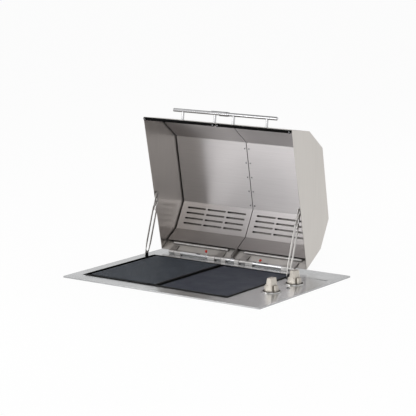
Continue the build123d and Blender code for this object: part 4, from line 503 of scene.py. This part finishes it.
# dull grey flats of cut and milled bar
SATIN_STEEL = RolledSteel("stainless_bar_satin_milled", "BDBBB9", "A5A3A1", 0.3,
                          blotch_mm=25.0, pit_mm=1.2, pit_depth_mm=0.01)
# flat strip with a soft sheen and darker edges
STAY_STEEL = RolledSteel("stainless_strip_satin_rolled", "C6C4C1", "B3B1AE", 0.3,
                         blotch_mm=20.0, pit_mm=1.2, pit_depth_mm=0.01)
# mirror-like tube with long stripes of light
BRIGHT_STEEL = DrawnSteel("stainless_tube_drawn_polished", "CFCFD0", "BEBEC0", 0.14)
# pale soft mirror, brighter than what stands behind it
LEVER_STEEL = DrawnSteel("steel_rod_nickel_plated", "F4F2EE", "E8E6E2", 0.4)
# hard mirror with the brightest points
CHROME = DrawnSteel("brass_turned_chromed", "D6D5D3", "C4C3C1", 0.08)
# small grey sparkle of screw heads and rivets
SCREW_STEEL = DrawnSteel("steel_screw_zinc_plated", "A9AAAC", "8E8F92", 0.22)
# cloudy bluish grey
CASING_STEEL = RolledSteel("steel_sheet_galvanised", "A9ACAE", "8F9396", 0.4, blotch_mm=14.0)
# brownish from the heat of the elements
TUB_STEEL = RolledSteel("stainless_sheet_heat_toned", "6E6861", "4E4842", 0.42, blotch_mm=40.0)
# plain grey sheet
TRAY_STEEL = RolledSteel("stainless_sheet_mill_rolled", "B4B4B5", "9C9C9E", 0.3, blotch_mm=30.0)
# dark scale of hot-rolled bar
FRAME_STEEL = RolledSteel("steel_bar_hot_rolled", "4A4846", "343230", 0.5, blotch_mm=12.0)
# dark and slightly oily
DARK_BRACKET = RolledSteel("steel_bracket_black_oxide", "4A4A4C", "303032", 0.42, blotch_mm=8.0)
# dull brown-grey tube
ELEMENT_SHEATH = RolledSteel("nickel_alloy_tube_oxidised", "4A4745", "2C2A29", 0.55,
                             blotch_mm=10.0)
# blue-black and matt, mottled as a coarse casting is, with paler rib tops
RIBBED_IRON = EnamelledIron("cast_iron_ribbed_matt_enamelled", "5E646D", "22252A", 0.5,
                            grain_mm=14.0, grain_depth_mm=1.2, upper_tone_from=0.0070, gloss=0.12)
# blue-black and matt, even all over its floor
FLAT_IRON = EnamelledIron("cast_iron_flat_matt_enamelled", "363C49", "2B303B", 0.52,
                          grain_mm=4.0, upper_tone_from=0.0090, upper_tone_to=0.0100)
# warm nickel skin with painted shade where the grip meets the base
SATIN_NICKEL = RolledSteel("zinc_casting_satin_nickelled", "CAC4BB", "BCB6AD", 0.26,
                           blotch_mm=12.0, pit_mm=1.2, pit_depth_mm=0.01, corner_shade_mm=7.0)
# deep black that swallows the light
BLACK_RUBBER = Moulded("silicone_rubber_moulded", "090909", "060606", 0.75, ior=1.2)
# shiny signal red
RED_GRIP = Moulded("nylon_grip_moulded", "D23A22", "B82C18", 0.3, coat=0.3)
# dark glossy dome with one point of light
LAMP_LENS = Moulded("polycarbonate_lens_smoked", "4A3F3A", "38302C", 0.06, coat=1.0, ior=1.58)
# chalky off-white
CERAMIC = Moulded("steatite_ceramic_unglazed", "DDD6C8", "CFC7B8", 0.6)
# brown-black with a low gloss
BAKELITE = Moulded("phenolic_moulding_dark", "3A3531", "2B2724", 0.38)
# brick-coloured sleeve
WIRE_SLEEVE = Moulded("silicone_wire_sleeve_extruded", "8C4634", "743828", 0.5)
# pale board with grey fibres
MINERAL_BOARD = PressedFibre("mineral_fibre_board_pressed", "D6D0C2", "A8A08E", 0.85)


class Workshop:
    """Builds each finish once, puts it on pieces and rounds their edges."""

    WELD_MM = 0.01
    SHARP_DEGREES = 35.0
    FACE_WEIGHT = 100

    def __init__(self, frame: dict) -> None:
        """Keep the frame's nodes and an empty shelf of materials.

        Args:
            frame: What the frame's loader returned.
        """
        self.nodes: dict[str, bpy.types.Object] = frame["nodes"]
        self.shelf: dict[str, bpy.types.Material] = {}

    def dress(self, piece: bpy.types.Object, finish: Finish) -> None:
        """Give a whole piece one finish.

        Args:
            piece: CAD node or new piece.
            finish: Finish that covers it.
        """
        if finish.name not in self.shelf:
            self.shelf[finish.name] = finish.material()
        piece.data.materials.clear()
        piece.data.materials.append(self.shelf[finish.name])
        LOG.info("%s: %s", piece.name, finish.name)

    def dress_nodes(self, finish: Finish, names: Iterable[str]) -> None:
        """Give several CAD nodes one finish.

        Args:
            finish: Finish that covers them.
            names: Names of the nodes.
        """
        for name in names:
            self.dress(self.nodes[name], finish)

    def round_edges(self, names: Iterable[str], width_mm: float, segments: int = 2) -> None:
        """Round the sharp edges of CAD nodes, so that they catch the light as real ones do.

        Args:
            names: Names of the nodes.
            width_mm: Width of the rounding.
            segments: Faces across it.
        """
        for name in names:
            node = self.nodes[name]
            weld = node.modifiers.new("joined_faces", "WELD")
            weld.merge_threshold = self.WELD_MM * MM
            bevel = node.modifiers.new("rounded_edges", "BEVEL")
            bevel.width = width_mm * MM
            bevel.segments = segments
            bevel.limit_method = "ANGLE"
            bevel.angle_limit = math.radians(self.SHARP_DEGREES)
            smooth = node.modifiers.new("even_shading", "WEIGHTED_NORMAL")
            smooth.keep_sharp = True
            smooth.weight = self.FACE_WEIGHT

    def place_copy(self, model: bpy.types.Object, name: str, place: Matrix, body: str,
                   finish: Finish) -> None:
        """Copy a modelled piece with its own mesh to its place and let it ride on a body.

        Args:
            model: Piece modelled at the origin.
            name: Name of the copy.
            place: Where the copy goes.
            body: Body that it moves with.
            finish: Finish that covers it.
        """
        piece = bpy.data.objects.new(name, model.data.copy())
        bpy.context.scene.collection.objects.link(piece)
        piece.data.transform(place)
        self.dress(piece, finish)
        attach(piece, body)


@dataclass
class DeckUnit:
    """Deck plate with what hangs under it."""

    workshop: Workshop
    edge_mm: float = 0.7

    def build(self) -> None:
        """Dress the deck, its seal, the firebox and the casing."""
        shop = self.workshop
        shop.dress_nodes(DECK_STEEL, ["deck_plate"])
        shop.round_edges(["deck_plate"], self.edge_mm)
        shop.dress_nodes(BLACK_RUBBER, ["flange_seal", "cable_inlet_bush"])
        shop.dress_nodes(TUB_STEEL, ["firebox_tub"])
        shop.dress_nodes(CASING_STEEL, ["outer_casing", "heat_shield", "service_cover",
                                        "bench_clamps", "tray_runners"])
        shop.dress_nodes(MINERAL_BOARD, ["insulation_boards"])
        shop.dress_nodes(FRAME_STEEL, ["plate_support_frame", "element_support_bars"])
        shop.dress_nodes(ELEMENT_SHEATH, ["heating_elements"])
        shop.dress_nodes(CERAMIC, ["element_glands", "terminal_block"])
        shop.dress_nodes(BAKELITE, ["thermostats"])
        shop.dress_nodes(WIRE_SLEEVE, ["wiring_loom"])
        shop.dress_nodes(TRAY_STEEL, ["drip_tray"])
        shop.dress_nodes(SCREW_STEEL, ["small_screws", "clamp_screws"])


@dataclass
class CookingPlates:
    """The ribbed plate and the smooth one."""

    workshop: Workshop
    edge_mm: float = 0.5

    def build(self) -> None:
        """Dress both plates."""
        self.workshop.dress_nodes(RIBBED_IRON, ["plate_ribbed"])
        self.workshop.dress_nodes(FLAT_IRON, ["plate_flat"])
        self.workshop.round_edges(["plate_ribbed", "plate_flat"], self.edge_mm, 1)


@dataclass
class HoodPlace:
    """Turns places on the closed hood into places on the open one.

    A place is given by its way across, its way from the rear rim to the front and its height over
    the rim.
    """

    hinge: tuple[float, float, float] = (-0.059, 0.24325, 0.015)
    rim_before_hinge: float = 0.0017
    rim_above_hinge: float = 0.0096
    open_angle: float = 77.8

    def matrix(self, across: float, along: float, up: float) -> Matrix:
        """Place whose own axes are those of the hood.

        Args:
            across: Distance from the seam, to the right.
            along: Distance from the rear rim to the front.
            up: Height over the rim plane.

        Returns:
            Matrix from that place to the world.
        """
        turn = Matrix.Rotation(math.radians(-self.open_angle), 4, "X")
        local = Vector((across, -self.rim_before_hinge - along, self.rim_above_hinge + up))
        return Matrix.Translation(self.hinge) @ turn @ Matrix.Translation(local)


@dataclass
class BumperScrews:
    """Small knobbly screw heads in the middle of the round bumpers in the front rim.

    Each is sunk in its bumper, stands 1 mm proud of it and stays clear of the closed deck.
    """

    workshop: Workshop
    place: HoodPlace
    corners: int = 28
    drum_radius: float = 0.0031
    drum_height: float = 0.0016
    round_width: float = 0.0005
    inset_share: float = 0.55
    step: float = 0.0008
    across: tuple[float, float] = (0.0105, 0.3238)
    along: float = 0.5373
    drum_top: float = -0.0046

    def build(self) -> None:
        """Model one head and set a copy in each bumper."""
        head = self.model()
        for side, sign in zip(SIDES, (-1.0, 1.0)):
            for spot, across in zip(("seam", "end"), self.across):
                matrix = self.place.matrix(sign * across, self.along, self.drum_top)
                name = "bumper_screw_%s_%s" % (side, spot)
                self.workshop.place_copy(head, name, matrix, "hood_" + side, SCREW_STEEL)
        bpy.data.objects.remove(head)

    def model(self) -> bpy.types.Object:
        """Model the head from a drum under the origin.

        Returns:
            The head, whose faces look outwards.
        """
        bpy.ops.object.select_all(action="DESELECT")
        bpy.ops.mesh.primitive_cylinder_add(
            vertices=self.corners, radius=self.drum_radius, depth=self.drum_height,
            location=(0.0, 0.0, -self.drum_height / 2))
        head = bpy.context.object
        bpy.ops.object.mode_set(mode="EDIT")
        bpy.ops.mesh.select_mode(type="FACE")
        # the whole drum is selected, and the rounding is wider than its narrow sides, so it swells
        # them into knobs: the head ends up 7.8 mm wide and 3.9 mm high
        bpy.ops.mesh.bevel(offset=self.round_width, segments=2)
        bpy.ops.mesh.inset(thickness=self.drum_radius * (1.0 - self.inset_share))
        bpy.ops.mesh.extrude_region_move(TRANSFORM_OT_translate={"value": (0.0, 0.0, self.step)})
        bpy.ops.object.mode_set(mode="OBJECT")
        bpy.ops.object.transform_apply(location=True, rotation=True, scale=True)
        return head


@dataclass
class HoodHalf:
    """One half of the hood with all that moves with it."""

    workshop: Workshop
    side: str
    fold_mm: float = 0.4

    def build(self) -> None:
        """Dress the sheets, the seals, the knuckles and the handle of this half."""
        shop, side = self.workshop, self.side
        shop.dress_nodes(HOOD_STEEL, ["hood_skin_" + side])
        shop.dress_nodes(END_STEEL, ["hood_end_panel_" + side])
        shop.dress_nodes(LINER_STEEL, ["hood_liner_" + side])
        shop.dress_nodes(SCREW_STEEL, ["hood_rivets_" + side])
        shop.dress_nodes(BLACK_RUBBER, ["rim_seal_" + side])
        shop.dress_nodes(SATIN_STEEL, ["drip_rail_" + side, "hinge_knuckles_" + side])
        shop.dress_nodes(BRIGHT_STEEL, ["handle_bar_" + side, "handle_posts_" + side])
        sheets = ["hood_skin_" + side, "hood_end_panel_" + side, "hood_liner_" + side]
        shop.round_edges(sheets, self.fold_mm, 1)
        shop.round_edges(["hinge_knuckles_" + side, "handle_posts_" + side], self.fold_mm)


@dataclass
class HingeLine:
    """Blocks, tubes, pins and release bolts on the deck."""

    workshop: Workshop
    edge_mm: float = 0.5

    def build(self) -> None:
        """Dress the hinge line, and the sleeve of the handle, which has the same polish."""
        shop = self.workshop
        shop.dress_nodes(SATIN_STEEL, ["hinge_blocks"])
        shop.dress_nodes(BRIGHT_STEEL, ["hinge_tubes", "outer_hinge_pins", "coupling_sleeve"])
        shop.dress_nodes(SCREW_STEEL, ["hinge_screws"])
        shop.round_edges(["hinge_blocks", "coupling_sleeve"], self.edge_mm)
        for side in SIDES:
            shop.dress_nodes(LEVER_STEEL, ["hinge_bolt_" + side])
            shop.dress_nodes(RED_GRIP, ["bolt_grip_" + side])


@dataclass
class Stays:
    """Slotted arms that hold the hood open, and their brackets."""

    workshop: Workshop
    edge_mm: float = 0.4

    def build(self) -> None:
        """Dress both arms and brackets."""
        names = ["stay_arm_left", "stay_arm_right"]
        self.workshop.dress_nodes(STAY_STEEL, names)
        self.workshop.dress_nodes(DARK_BRACKET, ["stay_brackets"])
        self.workshop.round_edges(names + ["stay_brackets"], self.edge_mm)


@dataclass
class Controls:
    """Knobs with their bezels and spindles, and the lamp."""

    workshop: Workshop
    edge_mm: float = 1.2

    def build(self) -> None:
        """Dress the knobs, the bezels and the lamp."""
        shop = self.workshop
        knobs = ["knob_front", "knob_rear"]
        shop.dress_nodes(SATIN_NICKEL, knobs)
        shop.round_edges(knobs, self.edge_mm, 3)
        shop.dress_nodes(SCREW_STEEL, ["spindle_front", "spindle_rear"])
        shop.dress_nodes(CHROME, ["knob_bezels"])
        shop.dress_nodes(SCREW_STEEL, ["lamp_bezel"])
        shop.dress_nodes(LAMP_LENS, ["lamp_lens"])


@dataclass
class BezelShadeRings:
    """Thin black rings in the groove between each knob and the raised ring of its bezel, laid there
    as painted shade.
    """

    workshop: Workshop
    corners: int = 64
    across: float = 0.33
    alongs: tuple[float, float] = (-0.076, 0.076)
    seat: float = 0.0067
    radius: float = 0.0301
    bore_share: float = 0.865
    thickness: float = 0.0005

    def build(self) -> None:
        """Model each ring in its groove."""
        for name, along in zip(("front", "rear"), self.alongs):
            bpy.ops.object.select_all(action="DESELECT")
            bpy.ops.mesh.primitive_circle_add(
                vertices=self.corners, radius=self.radius, fill_type="NOTHING",
                location=(self.across, along, self.seat))
            shade_ring = bpy.context.object
            shade_ring.name = "bezel_shade_ring_" + name
            bpy.ops.object.mode_set(mode="EDIT")
            bpy.ops.mesh.extrude_edges_move()
            bpy.ops.transform.resize(value=(self.bore_share, self.bore_share, 1.0))
            bpy.ops.mesh.select_all(action="SELECT")
            bpy.ops.mesh.extrude_region_move(
                TRANSFORM_OT_translate={"value": (0.0, 0.0, self.thickness)})
            bpy.ops.mesh.select_all(action="SELECT")
            bpy.ops.mesh.normals_make_consistent(inside=False)
            bpy.ops.object.mode_set(mode="OBJECT")
            bpy.ops.object.transform_apply(location=True, rotation=True, scale=True)
            self.workshop.dress(shade_ring, BLACK_RUBBER)
            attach(shade_ring, "base")


@dataclass
class Studio:
    """Floor, lamps, backdrop and camera."""

    floor_size: float = 60.0
    floor_colour: str = "F2F2F1"
    floor_white: float = 0.93
    # half width and half depth of the hole in the bench, and how near its middle is to the origin
    cut_out: tuple[float, float] = (0.416, 0.2925)
    cut_out_reach: float = 0.01
    world_level: float = 0.7
    world_colour: str = "F4F4F4"
    zenith: str = "707070"
    # upward share of a direction where the white ends, and where the full grey starts
    white_to: float = 0.1
    grey_from: float = 0.9
    camera_place: tuple[float, float, float] = (3.4414, -4.9376, 1.3469)
    camera_yaw: float = 34.842
    camera_pitch: float = 10.252
    camera_roll: float = 0.109
    camera_lens: float = 145.44
    camera_sensor: float = 36.0
    camera_reach: float = 100.0
    lamp_target: tuple[float, float, float] = (0.0, 0.0, 0.2)
    # name, place, side of the square panel and watts
    lamps: tuple[tuple[str, tuple[float, float, float], float, float], ...] = (
        ("key_lamp", (2.2, -2.6, 3.6), 3.0, 55.0),
        ("side_lamp", (-3.2, -1.2, 3.0), 3.0, 20.0),
        ("rear_lamp", (0.6, 3.2, 3.0), 2.4, 25.0),
        ("front_lamp", (-0.9, -1.85, 0.5), 0.9, 8.0),
    )

    def build(self) -> None:
        """Set the floor, the backdrop, the lamps and the camera."""
        self.floor()
        self.backdrop()
        for name, place, size, power in self.lamps:
            self.lamp(name, Vector(place), size, power)
        self.camera()

    def floor(self) -> None:
        """Lay the pale bench under the deck, with the cut-out that the casing drops into."""
        bpy.ops.object.select_all(action="DESELECT")
        bpy.ops.mesh.primitive_plane_add(size=self.floor_size, location=(0.0, 0.0, 0.0))
        floor = bpy.context.object
        floor.name = "pale_floor"
        bpy.ops.object.mode_set(mode="EDIT")
        bpy.ops.mesh.select_mode(type="FACE")
        for axis, half in zip((Vector(Axis.X.value), Vector(Axis.Y.value)), self.cut_out):
            for sign in (-1.0, 1.0):
                bpy.ops.mesh.select_all(action="SELECT")
                bpy.ops.mesh.bisect(plane_co=axis * half * sign, plane_no=axis)
        bpy.ops.mesh.select_all(action="DESELECT")
        bpy.ops.object.mode_set(mode="OBJECT")
        for polygon in floor.data.polygons:
            polygon.select = polygon.center.length < self.cut_out_reach
        bpy.ops.object.mode_set(mode="EDIT")
        bpy.ops.mesh.delete(type="FACE")
        bpy.ops.object.mode_set(mode="OBJECT")
        material = bpy.data.materials.new("paper_backdrop_matt")
        material.use_nodes = True
        tree = material.node_tree
        tree.nodes.clear()
        share = add_node(tree, "ShaderNodeMath", {
            0: self.seen_rays(tree), 1: self.floor_white}, operation="MULTIPLY")
        paper = add_node(tree, "ShaderNodeBsdfDiffuse", {"Color": linear(self.floor_colour)})
        white = add_node(tree, "ShaderNodeEmission", {"Color": WHITE, "Strength": 1.0})
        mixed = add_node(tree, "ShaderNodeMixShader", {0: share, 1: paper, 2: white})
        add_node(tree, "ShaderNodeOutputMaterial", {"Surface": mixed})
        floor.data.materials.append(material)

    def seen_rays(self, tree: bpy.types.NodeTree) -> bpy.types.Node:
        """Tell the rays of the camera, of gloss and of glass from the rest.

        Args:
            tree: Tree that gets the nodes.

        Returns:
            Node whose output is 1 for those rays.
        """
        path = add_node(tree, "ShaderNodeLightPath")
        gloss = add_node(tree, "ShaderNodeMath", {
            0: path.outputs["Is Camera Ray"],
            1: path.outputs["Is Glossy Ray"]}, operation="MAXIMUM")
        return add_node(tree, "ShaderNodeMath", {
            0: gloss, 1: path.outputs["Is Transmission Ray"]}, operation="MAXIMUM")

    def backdrop(self) -> None:
        """Surround the studio with plain light, seen as white that greys towards the ceiling."""
        world = bpy.data.worlds.new("studio_backdrop")
        bpy.context.scene.world = world
        world.use_nodes = True
        tree = world.node_tree
        tree.nodes.clear()
        place = add_node(tree, "ShaderNodeTexCoord")
        height = add_node(tree, "ShaderNodeSeparateXYZ", {"Vector": place.outputs["Generated"]})
        rise = add_node(tree, "ShaderNodeMapRange", {
            "Value": height.outputs["Z"], "From Min": self.white_to,
            "From Max": self.grey_from}, interpolation_type="SMOOTHSTEP")
        studio = add_node(tree, "ShaderNodeMix", {
            SHARE: rise, FIRST: WHITE, SECOND: linear(self.zenith)}, data_type="RGBA")
        plain = add_node(tree, "ShaderNodeBackground", {
            "Color": linear(self.world_colour), "Strength": self.world_level})
        seen = add_node(tree, "ShaderNodeBackground", {
            "Color": studio.outputs[MIXED], "Strength": 1.0})
        mixed = add_node(tree, "ShaderNodeMixShader", {
            0: self.seen_rays(tree), 1: plain, 2: seen})
        add_node(tree, "ShaderNodeOutputWorld", {"Surface": mixed})

    def lamp(self, name: str, place: Vector, size: float, power: float) -> None:
        """Hang one soft lamp that faces the grill.

        Args:
            name: Name of the lamp.
            place: Where it hangs.
            size: Side of its square panel.
            power: Watts.
        """
        data = bpy.data.lights.new(name, "AREA")
        data.size = size
        data.energy = power
        lamp = bpy.data.objects.new(name, data)
        lamp.location = place
        ahead = Vector(self.lamp_target) - place
        lamp.rotation_euler = ahead.to_track_quat("-Z", "Y").to_euler()
        bpy.context.scene.collection.objects.link(lamp)

    def camera(self) -> None:
        """Place the camera where the photograph was taken."""
        yaw = math.radians(self.camera_yaw)
        pitch = math.radians(self.camera_pitch)
        roll = math.radians(self.camera_roll)
        ahead = Vector((-math.sin(yaw) * math.cos(pitch), math.cos(yaw) * math.cos(pitch),
                        -math.sin(pitch)))
        level = Vector((math.cos(yaw), math.sin(yaw), 0.0))
        above = level.cross(ahead)
        right = math.cos(roll) * level + math.sin(roll) * above
        up = math.cos(roll) * above - math.sin(roll) * level
        data = bpy.data.cameras.new("camera")
        data.lens = self.camera_lens
        data.sensor_width = self.camera_sensor
        data.clip_end = self.camera_reach
        camera = bpy.data.objects.new("camera", data)
        turn = Matrix((right, up, -ahead)).transposed()
        camera.matrix_world = Matrix.Translation(self.camera_place) @ turn.to_4x4()
        bpy.context.scene.collection.objects.link(camera)
        bpy.context.scene.camera = camera


def main() -> None:
    """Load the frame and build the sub-assemblies in order."""
    logging.basicConfig(level=logging.INFO, format="%(message)s")
    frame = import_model()
    shop = Workshop(frame)
    place = HoodPlace()
    assemblies = [
        DeckUnit(shop), CookingPlates(shop), HoodHalf(shop, "left"), HoodHalf(shop, "right"),
        BumperScrews(shop, place), HingeLine(shop), Stays(shop), Controls(shop),
        BezelShadeRings(shop), Studio(),
    ]
    for assembly in assemblies:
        assembly.build()
        LOG.info("%s is done", type(assembly).__name__)
    bpy.context.scene.view_settings.view_transform = "Standard"


if __name__ == "__main__":
    main()
